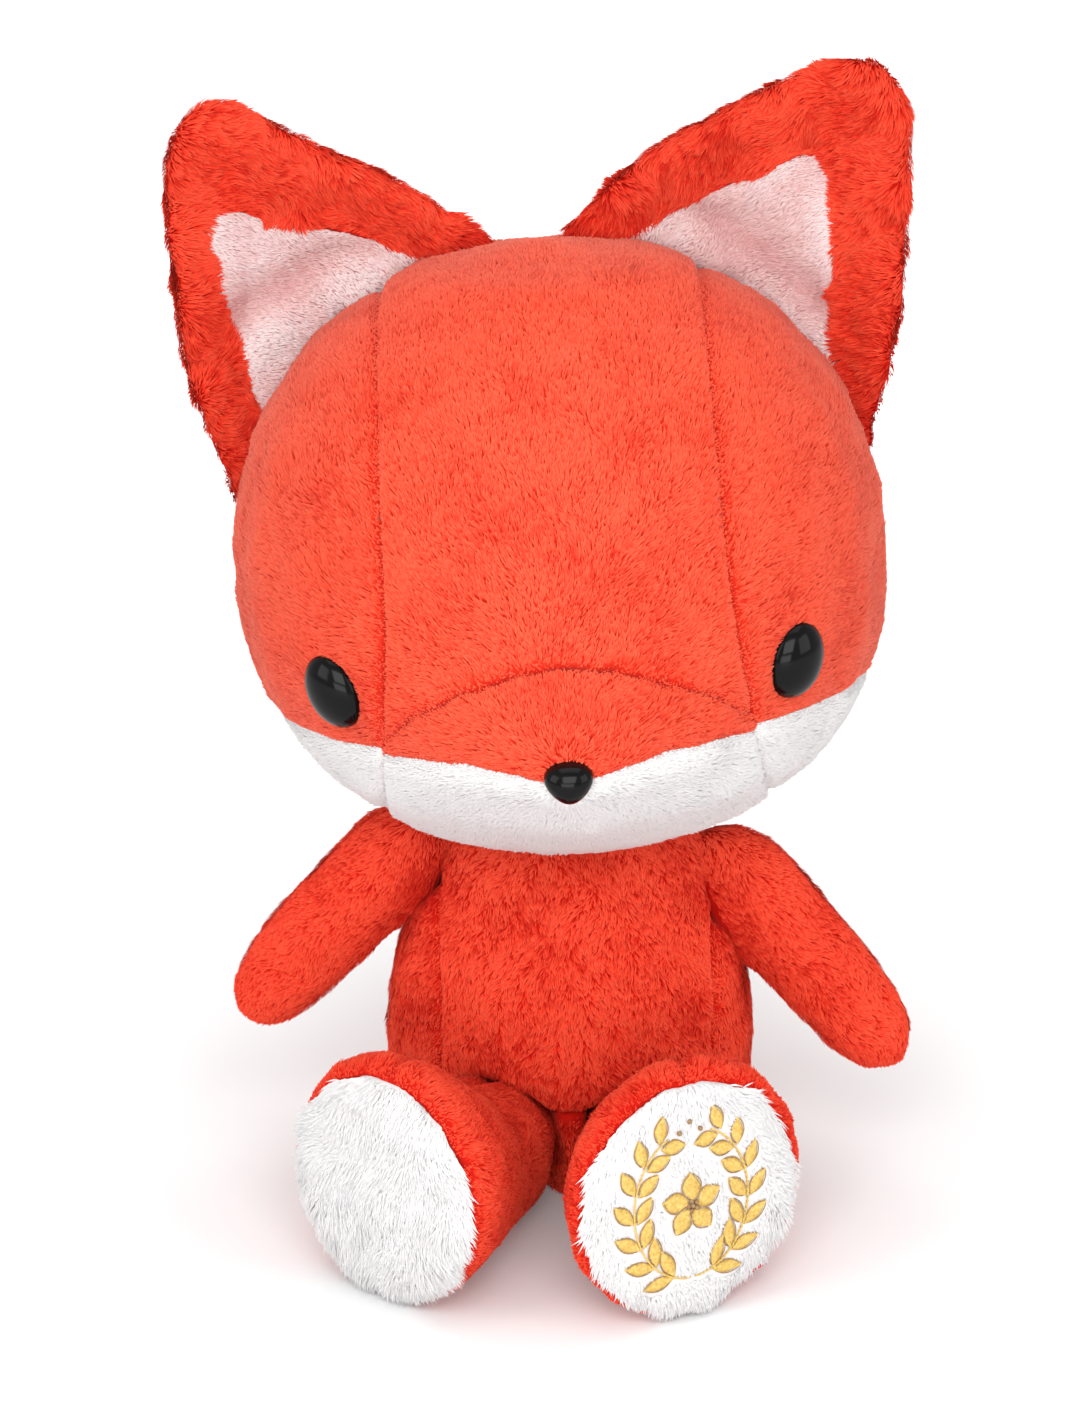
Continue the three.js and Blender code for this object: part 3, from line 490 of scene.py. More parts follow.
def fold_at(name, places):
    """How much of a point is in the insert's valley, and how much on its ridge."""
    low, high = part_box("ear_insert_" + name[4:])
    span = np.array((high.x - low.x, high.z - low.z))
    start, end = (np.array((low.x, low.z)) + span * np.array(share) for share in FOLDS[name])
    reach = np.linalg.norm(end - start)
    way = (end - start) / reach
    flat = places[:, (0, 2)] - start
    across = np.array((way[1], -way[0])) * np.sign(start[1] * way[0] - start[0] * way[1])
    far = np.linalg.norm(flat - np.clip(flat @ way, 0, reach)[:, None] * way, axis=1)
    return falloff(far, 4.5), falloff(flat @ across - 10 * MM, 5)


def fold_insert(skin, name):
    """The pink fabric is slack, so a soft valley runs across it, with a low ridge on the side of the head."""
    places = points(skin.data)
    outward = normals(skin.data)
    panels = FORMS[name]["panels"]
    distances = panel_distances(panel_trees(panels), places)
    inside = np.delete(distances, list(panels).index("ear_insert_" + name[4:]), 0).min(0)
    valley, ridge = fold_at(name, places)
    fade = (1 - falloff(inside, 4)) * (outward[:, 1] < 0)
    move_points(skin.data, places - outward * ((3.0 * valley - 1.2 * ridge) * fade)[:, None] * MM)


def keep_largest(skin):
    """Drops any bubble that the remesh left inside."""
    mesh = skin.data
    edges = read(mesh.edges, "vertices", 2, np.int32)
    island = np.arange(len(mesh.vertices))
    while True:
        low = np.minimum(island[edges[:, 0]], island[edges[:, 1]])
        before = island.copy()
        np.minimum.at(island, edges[:, 0], low)
        np.minimum.at(island, edges[:, 1], low)
        island = island[island]
        if (island == before).all():
            break
    found, counts = np.unique(island, return_counts=True)
    if len(found) > 1:
        choose(skin)
        bpy.ops.object.mode_set(mode="EDIT")
        bpy.ops.mesh.select_mode(type="VERT")
        bpy.ops.object.mode_set(mode="OBJECT")
        mesh.vertices.foreach_set("select", island != found[counts.argmax()])
        bpy.ops.object.mode_set(mode="EDIT")
        bpy.ops.mesh.delete(type="VERT")
        bpy.ops.object.mode_set(mode="OBJECT")


# %% [markdown]
# ## Stuffing
# Fibre pushes the fabric out everywhere except at the seams, whose threads don't stretch. Cloth
# simulation with pressure does just this: the seams are pinned, and the panels between them crown.
# What a point moves is limited softly, so that no panel balloons.

# %% Blow up a skin between its seams
def stuff(skin, pinned, swell, frames=16):
    start = read(skin.data.vertices, "co")
    held = skin.vertex_groups.new(name="seams")
    for index, weight in enumerate(pinned.tolist()):
        held.add([index], weight, "REPLACE")
    cloth = skin.modifiers.new("Cloth", "CLOTH")
    cloth.settings.quality = 4
    cloth.settings.use_pressure = True
    cloth.settings.uniform_pressure_force = 4
    cloth.settings.effector_weights.gravity = 0
    cloth.settings.vertex_group_mass = held.name
    cloth.collision_settings.use_collision = False
    cloth.point_cache.frame_start, cloth.point_cache.frame_end = 1, frames
    for now in range(1, frames + 1):
        bpy.context.scene.frame_set(now)
    finish_modifier(skin, cloth)
    bpy.context.scene.frame_set(1)
    skin.vertex_groups.clear()
    moved = read(skin.data.vertices, "co") - start
    far = np.linalg.norm(moved, axis=1, keepdims=True)
    limit = swell * MM
    move_points(skin.data, start + moved * (limit * np.tanh(far / limit) / np.maximum(far, 1e-9)))
    return float(far.max() / MM)


# %% [markdown]
# ## Cutting the skin along its seams
# After one subdivision the skin is fine enough to cut. Points next to a seam are slid along their edges
# onto it, so every triangle lies wholly in one panel, and the seam is then pressed in. The pile goes on
# standing as it did before the seam was pressed in, so it closes over the groove.
# Separating the mesh by material parts the panels as scissors would.

# %% Slide points onto the seams and part the panels
GROOVE = 1.3


def slide_onto_seams(places, edges, distances):
    label = distances.argmin(0)
    on_seam = np.zeros(len(places), bool)
    for _ in range(12):
        a, b = edges[:, 0], edges[:, 1]
        crossing = (label[a] != label[b]) & ~on_seam[a] & ~on_seam[b]
        if not crossing.any():
            break
        a, b = a[crossing], b[crossing]
        far_a = distances[label[b], a] - distances[label[a], a]
        far_b = distances[label[a], b] - distances[label[b], b]
        share = far_a / np.maximum(far_a + far_b, 1e-12)
        meet = places[a] + (places[b] - places[a]) * share[:, None]
        mover = np.where(share < 0.5, a, b)
        cost = np.minimum(share, 1 - share)
        order = np.argsort(-cost)
        best = np.full(len(places), -1)
        best[mover[order]] = order
        chosen = np.nonzero(best >= 0)[0]
        places[chosen] = meet[best[chosen]]
        on_seam[chosen] = True
    return label, on_seam


def cut_panels(skin, panels, trees, crease):
    finer = skin.modifiers.new("Finer", "SUBSURF")
    finer.levels = finer.render_levels = 1
    finish_modifier(skin, finer)
    with all_in_edit_mode():
        bpy.ops.mesh.quads_convert_to_tris(quad_method="SHORTEST_DIAGONAL")
    mesh = skin.data
    places = points(mesh)
    outward = read(mesh.vertex_normals, "vector")
    distances = panel_distances(trees, places)
    label, on_seam = slide_onto_seams(places, read(mesh.edges, "vertices", 2, np.int32), distances)
    away = np.where(on_seam, 0, seam_distance(distances))
    places -= outward * (crease * MM * falloff(away, GROOVE))[:, None]
    places[:, 2] = np.maximum(places[:, 2], FLOOR_GAP)
    move_points(mesh, places)
    seam = mesh.attributes.new("seam", "FLOAT", "POINT")
    seam.data.foreach_set("value", away.astype(np.float32))
    lay = mesh.attributes.new("lay", "FLOAT_VECTOR", "POINT")
    lay.data.foreach_set("vector", outward.ravel())
    faces = read(mesh.polygons, "vertices", 3, np.int32)
    owner = np.where(~on_seam[faces], label[faces], -1).max(1)
    lost = owner < 0
    if lost.any():
        middle = read(mesh.polygons, "center")[lost]
        owner[lost] = panel_distances(trees, middle).argmin(0)
    for panel in panels:
        mesh.materials.append(bpy.data.materials.new("cut " + panel))
    mesh.polygons.foreach_set("material_index", owner.astype(np.int32))
    choose(skin)
    with all_in_edit_mode():
        bpy.ops.mesh.separate(type="MATERIAL")
    parts = {}
    for part in list(bpy.context.selected_objects):
        index = part.data.polygons[0].material_index
        parts[part.data.materials[index].name.removeprefix("cut ")] = part
        part.data.materials.clear()
    return parts


# %% [markdown]
# ## Which way the pile lies
# On each form the nap runs one way: from the nose back over the head, down the body, along the arms to
# the hands, along the legs to the hips, over the ears from tip to base, and outwards and down on a sole.
# A slow drift and a little chance turn each tuft away from that, as brushing does.

# %% Directions of the nap
def node_middle(node):
    low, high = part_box(node)
    return np.array((low + high) / 2)


NOSE_TIP = np.array(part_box("nose")[0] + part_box("nose")[1]) / 2


def nap_of(name, panel, places):
    way = np.zeros_like(places)
    if panel.startswith("sole"):
        way[:] = (places - node_middle(panel)) * 0.25
        way[:, 2] -= 14 * MM
    elif name.startswith("ear"):
        way[:] = node_middle("head_stuffing") + (0, 0, 45 * MM) - places
    elif name.startswith("arm"):
        low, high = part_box("arm_stuffing_" + name[4:])
        outer = high.x if name.endswith("left") else low.x
        inner = low.x if name.endswith("left") else high.x
        way[:] = (outer - inner, 0, low.z - high.z)
    elif name.startswith("leg"):
        way[:] = node_middle("torso_stuffing") - node_middle("sole_" + name[4:])
        way[:, 2] = -20 * MM
    elif name == "tail":
        way[:] = (0.1, 1, 0.15)
    elif name == "head":
        way[:] = places - NOSE_TIP
    else:
        way[:] = (0, -0.15, -1)
        way[:, 0] = places[:, 0] / (120 * MM)
    return way


# %% [markdown]
# ## Where the light gets lost
# Between the legs, in the crotch, under the arms and where the ears meet the head, red fabric faces red
# fabric and little light gets in. That shade is painted into the pile: its tone drops as the neighbour comes
# nearer.

# %% How near a neighbour is
def neighbour_gap(name, places):
    close = {
        "torso": ["arm_front_left", "arm_front_right", "leg_inner_left", "leg_inner_right"],
        "arm_left": ["torso_side_panel_left", "tummy_panel"],
        "arm_right": ["torso_side_panel_right", "tummy_panel"],
        "leg_left": ["leg_inner_right", "tummy_panel", "seat_panel"],
        "leg_right": ["leg_inner_left", "tummy_panel", "seat_panel"],
        "ear_left": ["side_panel_left", "crown_panel"],
        "ear_right": ["side_panel_right", "crown_panel"],
        "tail": ["torso_back_panel", "seat_panel"],
    }.get(name, [])
    if not close:
        return np.full(len(places), 1.0)
    return panel_distances(panel_trees(close), places).min(0)


def shade_at(gap):
    return 0.4 * falloff(gap, 7)


# %% [markdown]
# ## Growing the pile
# Each tuft is a slim kite of two triangles that rises from the fabric and bends over along the nap. Tufts
# are gathered into small clumps whose tips lean together, which opens the fine slits that short plush
# shows.
# Their shading normals are those of the fabric, tipped a little to each side, so that thousands of tufts
# read as one soft surface. Where the body's pile stands up to the light its normals lean that way, and at
# the thin edge of an ear each side keeps its own light.

# %% Sow the tufts of one panel
FRONT = np.array((0, -0.94, 0.34))
TONES = (0.03, 0.97)  # tones stay just inside the map
SIDE_TONE = 0.012  # what the two edges of a tuft differ by from its middle
CROWDED = 0.7 * MM  # nothing grows nearer than this to a neighbour


def sow(skin, name, panel, look, seed):
    draw = np.random.default_rng(seed)
    mesh = skin.data
    places = points(mesh)
    outward = read(mesh.attributes["lay"].data, "vector").astype(np.float64)
    seam = read(mesh.attributes["seam"].data, "value", 1).astype(np.float64)
    gap = neighbour_gap(name, places)
    faces = read(mesh.polygons, "vertices", 3, np.int32)
    corners = places[faces]
    area = np.linalg.norm(np.cross(corners[:, 1] - corners[:, 0], corners[:, 2] - corners[:, 0]), axis=1) / 2
    count = int(area.sum() / MM**2 * look["density"])
    steps = (np.arange(count) + draw.uniform(size=count)) / count
    face = np.searchsorted(np.cumsum(area) / area.sum(), steps).clip(0, len(area) - 1)
    a, b = draw.uniform(size=(2, count))
    flip = a + b > 1
    a[flip], b[flip] = 1 - a[flip], 1 - b[flip]
    weight = np.stack([1 - a - b, a, b], 1)[:, :, None]
    root = (places[faces[face]] * weight).sum(1)
    up = unit((outward[faces[face]] * weight).sum(1))
    from_seam = (seam[faces[face]] * weight[:, :, 0]).sum(1)
    gap = (gap[faces[face]] * weight[:, :, 0]).sum(1)
    trimmed = look["trim"](root) if "trim" in look else np.ones(count)
    keep = (gap > CROWDED) & (trimmed > 0.05)
    root, up, from_seam, gap, trimmed = root[keep], up[keep], from_seam[keep], gap[keep], trimmed[keep]
    count = len(root)

    way = nap_of(name, panel, root)
    way = unit(way - up * (way * up).sum(1, keepdims=True))
    turn = look["wander"] * drift(root, 16 * MM, 5) * 0.6 + draw.normal(size=count) * look["stray"]
    side = np.cross(up, way)
    way = way * np.cos(turn)[:, None] + side * np.sin(turn)[:, None]
    side = np.cross(up, way)

    length = look["length"] * MM * (1 + 0.12 * drift(root, 9 * MM, 6)) * draw.uniform(0.7, 1.2, count)
    length *= trimmed * (1 - look["seam_short"] * falloff(from_seam, look["seam_reach"]))
    width = look["width"] * MM * draw.uniform(0.75, 1.25, count)
    lift = look["lift"] * (1 + 0.15 * drift(root, 7 * MM, 7)) * draw.uniform(0.6, 1.4, count)
    reach = np.sqrt(np.maximum(1 - lift**2, 0.1))
    middle = root + way * (length * reach * 0.42)[:, None] + up * (length * lift * 0.62)[:, None]
    tip = root + way * (length * reach)[:, None] + up * (length * lift)[:, None]

    bunch = np.array(look["clump"]) * MM
    warp = np.stack([drift(root, 5 * MM, 20 + i) for i in range(3)], 1) * 0.5 * bunch
    cell = np.floor((root + warp + draw.normal(size=(count, 3)) * 0.12 * bunch) / bunch).astype(np.int64)
    _, clump = np.unique(cell @ np.array([73856093, 19349663, 83492791]), return_inverse=True)
    clump = clump.ravel()
    size = np.bincount(clump)
    centre = np.stack([np.bincount(clump, tip[:, i]) / size for i in range(3)], 1)[clump]
    pull = (centre - tip) * look["gather"]
    tip = tip + pull
    middle = middle + pull * 0.3

    tone = look["tone"] + look["patchy"] * drift(root, 20 * MM, 8)
    tone += look["streaky"] * (draw.normal(size=size.size)[clump] + draw.normal(size=count))
    # The last term is painted shade: the tone drops near a facing neighbour.
    tone += look["edge_tone"] * falloff(from_seam, 9) - shade_at(gap)
    # Painted shade in the insert's valley and painted light on its ridge, over the real fold of the fabric.
    if panel.startswith("ear_insert"):
        valley, ridge = fold_at(name, root)
        tone += 0.15 * ridge - 0.5 * valley
    tone = tone.clip(*TONES)
    root = root - up * (0.25 * MM)
    edge = side * (width / 2)[:, None]
    blades = np.stack([root, middle - edge, middle + edge, tip], 1)
    blades[:, :, 2] = np.maximum(blades[:, :, 2], FLOOR_GAP)
    bulge = look["bulge"] * side
    up = up + np.array((0, -0.5, 0.3)) * look["upright"]
    faces_front = np.cross(middle - root, side) @ FRONT
    turned = look["edge_turn"] * falloff(from_seam, 4) * np.sign(faces_front)
    up = up + turned[:, None] * FRONT
    flat = up + 0.1 * way
    shading = np.stack([flat, flat - bulge, flat + bulge, up + 0.35 * way], 1)
    across = np.stack([tone, tone - SIDE_TONE, tone + SIDE_TONE, tone], 1)
    along = np.tile([0.14, 0.5, 0.5, 1.0], (count, 1))
    blade_faces = np.array([[0, 1, 2], [1, 3, 2]])[None] + np.arange(count)[:, None, None] * 4
    return {
        "places": blades.reshape(-1, 3),
        "faces": blade_faces.reshape(-1, 3),
        "normals": unit(shading.reshape(-1, 3)),
        "map": np.stack([across, along], 2).reshape(-1, 2),
        "tufts": count,
    }


# %% [markdown]
# ## One piece of plush
# A panel is a sheet of backing fabric, nearly a millimetre thick, with its tufts standing on it. Solidify gives
# the backing its thickness and closes its edges, and the tufts then join its mesh.

# %% Put backing and tufts together
BACKING = 0.9 * MM


def plush(skin, name, panel, look, seed):
    tufts = sow(skin, name, panel, look, seed)
    backing = skin.modifiers.new("Backing", "SOLIDIFY")
    backing.thickness = BACKING
    backing.offset = -1
    finish_modifier(skin, backing)
    old = skin.data
    old.calc_loop_triangles()
    places = points(old)
    faces = read(old.loop_triangles, "vertices", 3, np.int32)
    outward = normals(old)
    # The backing's tone drifts at random, and it drops near a facing neighbour as painted shade.
    tone = (0.45 + 0.1 * drift(places, 3 * MM, 9) - shade_at(neighbour_gap(name, places))).clip(*TONES)
    seam = read(old.attributes["seam"].data, "value", 1).astype(np.float64)
    # Near a seam the backing runs down to the bottom of the map: painted shade in the seam's crease.
    depth = 0.11 + 0.012 * drift(places, 2 * MM, 10) - look["seam_shade"] * falloff(seam, 1.6)
    own_map = np.stack([tone, depth.clip(0.01, 0.2)], 1)
    all_places = np.concatenate([places, tufts["places"]])
    all_places[:, 2] = np.maximum(all_places[:, 2], 0.1 * MM)
    all_faces = np.concatenate([faces, tufts["faces"] + len(places)])
    all_normals = np.concatenate([outward, tufts["normals"]])
    all_map = np.concatenate([own_map, tufts["map"]])
    mesh = bpy.data.meshes.new(name)
    mesh.vertices.add(len(all_places))
    mesh.vertices.foreach_set("co", all_places.astype(np.float32).ravel())
    mesh.loops.add(all_faces.size)
    mesh.loops.foreach_set("vertex_index", all_faces.astype(np.int32).ravel())
    mesh.polygons.add(len(all_faces))
    mesh.polygons.foreach_set("loop_start", np.arange(0, all_faces.size, 3, dtype=np.int32))
    mesh.update(calc_edges=True)
    tuft_map = mesh.uv_layers.new(name="OFBake")
    tuft_map.uv.foreach_set("vector", all_map[all_faces.ravel()].astype(np.float32).ravel())
    mesh.polygons.foreach_set("use_smooth", np.ones(len(all_faces), bool))
    mesh.normals_split_custom_set_from_vertices(all_normals.astype(np.float32))
    skin.data = mesh
    bpy.data.meshes.remove(old)
    return tufts["tufts"], len(all_faces)


# %% [markdown]
# ## The kinds of pile
# The red plush is short and fine. The body's is brushed flatter, the ears wear the same fabric but
# brushed up and longer to the eye, the soles are fluffy white, and the pink inserts are soft and short.
# Density is in tufts to a square millimetre; length, width, clump size and seam reach are in millimetres;
# the rest are shares.

# %% How each kind of pile stands
RED = dict(
    density=6.0,
    length=2.3,
    width=0.44,
    lift=0.3,
    wander=0.32,
    stray=0.2,
    clump=1.2,
    gather=0.26,
    seam_short=0.66,
    seam_reach=1.6,
    seam_shade=0.11,
    tone=0.58,
    patchy=0.08,
    streaky=0.12,
    edge_tone=0.0,
    edge_turn=0.0,
    upright=0.0,
    bulge=0.42,
)
EAR = dict(RED, density=7.5, length=3.9, width=0.46, wander=1.0, stray=0.16, clump=1.7, gather=0.38)
BODY = dict(RED, wander=0.5, gather=0.36, patchy=0.13, streaky=0.15, upright=1.0)
LONG = dict(RED, density=9.0, length=4.4, width=0.42, lift=0.42, wander=0.45, stray=0.32, clump=1.8)
PINK = dict(RED, length=2.5, width=0.42, gather=0.22, tone=0.42, patchy=0.17, streaky=0.06, edge_tone=0.4)
# The ear's back is trimmed at its edge, so that from the front only the rim's pile makes the outline.
BACK = dict(RED, length=2.8, wander=0.8, seam_short=0.85, seam_reach=3.5, tone=0.5, edge_turn=2.5)
KINDS = {
    "red": RED,
    "limb": dict(BODY, clump=1.6),
    "torso": dict(BODY, clump=(3.2, 3.2, 1.1), gather=0.4, patchy=0.16, streaky=0.18),
    # The inner leg's and the ear's lower tones are painted shade.
    "inner leg": dict(BODY, clump=1.6, tone=0.5),
    "ear": dict(EAR, seam_short=0.2, seam_shade=0.02, tone=0.45, patchy=0.09, streaky=0.16, edge_turn=0.8),
    "ear back": dict(BACK, seam_shade=0.0),
    "white": dict(RED, density=5.5, width=0.48, gather=0.14, bulge=0.25, streaky=0.1),
    "sole": dict(LONG, gather=0.36, seam_short=0.0, seam_shade=0.04, tone=0.75, bulge=0.2),
    "pink": dict(PINK, seam_short=0.2, seam_shade=0.03),
}
# Where the toy is seen least the tufts stand a little further apart.
SPARSER = {
    "seat": 0.5,
    "back": 0.8,
    "tail": 0.8,
    "torso_back_panel": 0.8,
    "ear_back_left": 0.8,
    "ear_back_right": 0.8,
}


# The darker, redder copy of the red, for every part but the head, is painted shade.
def look_of(name, colour):
    return "shaded red" if colour == "red" and name != "head" else colour


def kind_of(panel, colour):
    if panel.startswith("sole"):
        return "sole"
    if panel.startswith("leg_inner"):
        return "inner leg"
    if panel.startswith("ear_back"):
        return "ear back"
    if panel.startswith("ear") and colour == "red":
        return "ear"
    if colour == "red" and panel.startswith(("arm", "leg", "tail")):
        return "limb"
    if panel.startswith(("torso", "tummy", "seat")):
        return "torso"
    return colour


# %% [markdown]
# ## Embroidery on one sole
# The left sole carries a wreath of leaves around a flower, in gold satin stitch edged with a thin brown
# thread. Satin stitch is nothing but threads laid side by side, so that is how it is made: each thread is
# a slim tube of four sides that arches from one edge of a leaf to the other.
# The threads are laid out flat first, then dropped onto the stuffed sole, and the pile around them is
# trimmed short.

# %% Lay out the threads
BARE = 0.8 * MM  # no tuft stands nearer than this to a thread
SOLE = Matrix(
    ((0.9903, -0.1392, 0, 20.5 * MM), (0.1392, 0.9903, 0, -33 * MM), (0, 0, 1, 28 * MM), (0, 0, 0, 1))
)


def leaf(middle, way, length, width, threads):
    """Threads across a leaf, a little aslant, and its outline."""
    way = Vector(way).normalized()
    side = Vector((-way.y, way.x))
    fill, left, right = [], [], []
    for step in range(threads + 1):
        share = step / threads
        half = width / 2 * math.sin(math.pi * (0.04 + 0.92 * share)) ** 0.75
        spot = Vector(middle) + way * (share - 0.5) * length
        fill.append([spot + side * half * k + way * 0.5 * k for k in (-1, -0.35, 0.35, 1)])
        if step % 3 == 0 or step == threads:
            left.append(spot + side * (half + 0.12))
            right.append(spot - side * (half + 0.12))
    return fill, left + right[::-1] + left[:1]


def wreath():
    gold, brown, knots = [], [], []
    for side in (-1, 1):
        stem = []
        for step in range(41):
            turn = math.radians(-88 + 156 * step / 40)
            stem.append(Vector((side * 14 * math.cos(turn), 17 * math.sin(turn))))
        bow = Vector((0.15 * side, 0))
        gold += [[stem[i], (stem[i] + stem[i + 2]) / 2 + bow, stem[i + 2]] for i in range(39)]
        for number, turn in enumerate((-66, -45, -24, -3, 18, 39, 60)):
            turn = math.radians(turn)
            foot = Vector((side * 14 * math.cos(turn), 17 * math.sin(turn)))
            out = Vector((side * 17 * math.cos(turn), 14 * math.sin(turn))).normalized()
            on = Vector((-side * 14 * math.sin(turn), 17 * math.cos(turn))).normalized()
            for way in (1, -1):
                middle = foot + (on * 1.9 + out * way * 2.5)
                fill, edge = leaf(middle, on + out * way * 0.8, 6.4 - 0.25 * number, 3.1, 17)
                gold += fill
                brown.append(edge)
        knots.append(Vector((side * 2.6, 16.5)))
    for petal in range(5):
        turn = math.radians(90 + 72 * petal)
        out = Vector((math.cos(turn), math.sin(turn)))
        fill, edge = leaf(out * 4.2, out, 5.4, 4.6, 15)
        gold += fill
        brown.append(edge)
        knots.append(out.orthogonal() * 1.1)
    knots += [Vector((0, 0)), Vector((0, 18.5))]
    return gold, brown, knots


# %% Lay threads and knots on the sole
def on_sole(tree, spot):
    start = SOLE @ Vector((spot.x * MM, -100 * MM, spot.y * MM))
    place, out, _, _ = tree.ray_cast(start, SOLE.to_3x3() @ Vector((0, 1, 0)))
    return place, out if out.y < 0 else -out


def lay_threads(name, tree, paths, width, rise):
    places, faces = [], []
    for path in paths:
        spots = [on_sole(tree, spot) for spot in path]
        last = len(spots) - 1
        first = len(places)
        for i, (place, out) in enumerate(spots):
            ahead = spots[min(i + 1, last)][0] - spots[max(i - 1, 0)][0]
            side = ahead.cross(out).normalized() * (width / 2)
            place = place + out * rise * (0.3 + 0.7 * math.sin(math.pi * i / last))
            places += [place - side, place + out * width * 0.35, place + side, place - out * width * 0.35]
        for i in range(last):
            ring = first + 4 * i
            faces += [(ring + k, ring + (k + 1) % 4, ring + 4 + (k + 1) % 4, ring + 4 + k) for k in range(4)]
        faces += [(first + 3, first + 2, first + 1, first), tuple(first + 4 * last + k for k in range(4))]
    mesh = bpy.data.meshes.new(name)
    mesh.from_pydata([p[:] for p in places], [], faces)
    laid = bpy.data.objects.new(name, mesh)
    bpy.context.collection.objects.link(laid)
    choose(laid)
    with all_in_edit_mode():
        bpy.ops.mesh.normals_make_consistent(inside=False)
    bpy.ops.object.shade_smooth_by_angle(angle=math.radians(80))
    return laid


def thread_material(name, dark, bright):
    silky = {"Roughness": 0.42, "Specular IOR Level": 0.45}
    material, nodes, link, shader = new_material(name, silky)
    ply = fine_noise(nodes, link, 1400, detail=3)
    link(ramp(nodes, link, ply, [(0.3, dark), (0.65, bright)]), shader.inputs["Base Color"])
    return material


THREADS = {
    "gold": thread_material("gold embroidery thread", (0.50, 0.30, 0.055), (0.74, 0.50, 0.13)),
    "brown": thread_material("brown embroidery thread", (0.22, 0.12, 0.05), (0.34, 0.20, 0.09)),
}


def embroider(sole):
    """Gold fill, brown edges and a few knots. What it returns says how long the pile is left near them."""
    tree = surface_tree(sole.data)
    gold, brown, knots = wreath()
    fill = lay_threads("sole_gold_stitches", tree, gold, 0.42 * MM, 0.65 * MM)
    edge = lay_threads("sole_brown_stitches", tree, brown, 0.32 * MM, 0.45 * MM)
    seeds = []
    for spot in knots:
        place, out = on_sole(tree, spot)
        bpy.ops.mesh.primitive_ico_sphere_add(subdivisions=2, radius=0.62 * MM, location=place + out * 0.6 * MM)
        bpy.ops.object.transform_apply(location=True)
        bpy.ops.object.shade_smooth()
        seeds.append(bpy.context.object)
    choose(*seeds, edge)
    bpy.ops.object.join()
    for piece, colour in ((fill, "gold"), (edge, "brown")):
        piece.data.materials.clear()
        piece.data.materials.append(THREADS[colour])
        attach(piece, "leg_left")
        print("  ", piece.name, len(piece.data.polygons), "faces")
    laid = []
    for mesh in (fill.data, edge.data):
        faces = [p.vertices[:] for p in mesh.polygons]
        laid.append(BVHTree.FromPolygons([v.co[:] for v in mesh.vertices], faces))

    def trim(places):
        near = np.array([min(tree.find_nearest(Vector(p))[3] for tree in laid) for p in places.tolist()])
        return np.where(near < BARE, 0, 0.3 + ((near - BARE) / (7 * MM)).clip(0, 0.7))

    return trim


# %% Make every form
tuft_total = triangle_total = 0
for form_index, (name, form) in enumerate(FORMS.items()):
    panels = list(form["panels"])
    trees = panel_trees(panels)
    limb = name not in ("head", "torso")
    neighbours = [panel for panel in FORMS["head" if name.startswith("ear") else "torso"]["panels"] if limb]
    skin = melted_skin(name, panels + form["filling"], form["voxel"], panels, neighbours)
    near = seam_distance(panel_distances(trees, points(skin.data)))
    for side in (-1, 1):
        if name in ("torso", "arm_left" if side > 0 else "arm_right"):
            fill_shoulder(skin, side, name != "torso")
    if name.startswith("ear"):
        fold_insert(skin, name)
    pinned = falloff(near, form["voxel"] * 0.8)
    pinned[near < form["voxel"] * 0.5 * MM] = 1
    reach = stuff(skin, pinned, form["swell"])
    parts = cut_panels(skin, panels, trees, form["crease"])
    missing = set(panels) - set(parts)
    print(name, "cloth reach", round(reach, 1), "mm; panels", len(parts), "missing", missing)
    for panel_index, panel in enumerate(panels):
        piece = parts[panel]
        colour = form["panels"][panel]
        look = dict(KINDS[kind_of(panel, colour)])
        look["density"] *= SPARSER.get(panel.split("_")[0], SPARSER.get(panel, 1.0))
        if panel == "sole_left":
            look["trim"] = embroider(piece)
        tufts, faces = plush(piece, name, panel, look, 100 * form_index + panel_index)
        piece.name = panel.replace("_panel", "") + "_plush"
        piece.data.name = piece.name
        piece.data.materials.append(PILE[look_of(name, colour)])
        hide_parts(panel, *(form["filling"] if panel_index == 0 else []))
        if name in BENDS:
            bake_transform(piece)
        else:
            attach(piece, form["body"])
        tuft_total += tufts
        triangle_total += faces
        print("  ", piece.name, tufts, "tufts", faces, "triangles")
print("all plush:", tuft_total, "tufts,", triangle_total, "triangles")

# %% [markdown]
# ## Eyes and nose
# These are moulded domes of glossy black plastic, with a shank that goes through the fabric. Half a
# sphere, scaled to an oval, makes the dome, and its rim is extruded back into the plush.

# %% Glossy black plastic
jet = {"Base Color": (0.003, 0.003, 0.003, 1), "Specular IOR Level": 0.16}
black, nodes, link, shader = new_material("glossy black plastic", jet)
haze = fine_noise(nodes, link, 260)
link(spread(nodes, link, haze, 0.08, 0.2), shader.inputs["Roughness"])

# %% Dome buttons
# Sizes and seats are in millimetres. A narrow button is narrower at its foot than at its top by that share.
EYE = {"half": (7.5, 9.1, 5.4), "narrow": 0, "sunk": 0.5}
BUTTONS = {
    "eye_left": {
        **EYE,
        "right": (0.7328, 0.6542, -0.1871),
        "up": (0.1862, 0.0717, 0.9799),
        "out": (0.6545, -0.7529, -0.0693),
        "seat": (51.1041, -51.5593, 148.4087),
    },
    "eye_right": {
        **EYE,
        "right": (0.6846, -0.669, 0.2896),
        "up": (-0.3561, 0.0397, 0.9336),
        "out": (-0.636, -0.7422, -0.2111),
        "seat": (-53.614, -51.2208, 140.7186),
    },
    "nose": {
        "half": (6.8, 4.8, 4.6),
        "narrow": 0.45,
        "sunk": 0.2,
        "right": (0.9973, 0.0009, 0.0732),
        "up": (-0.072, -0.1747, 0.982),
        "out": (0.0137, -0.9846, -0.1742),
        "seat": (-0.2003, -82.0315, 130.2023),
    },
}
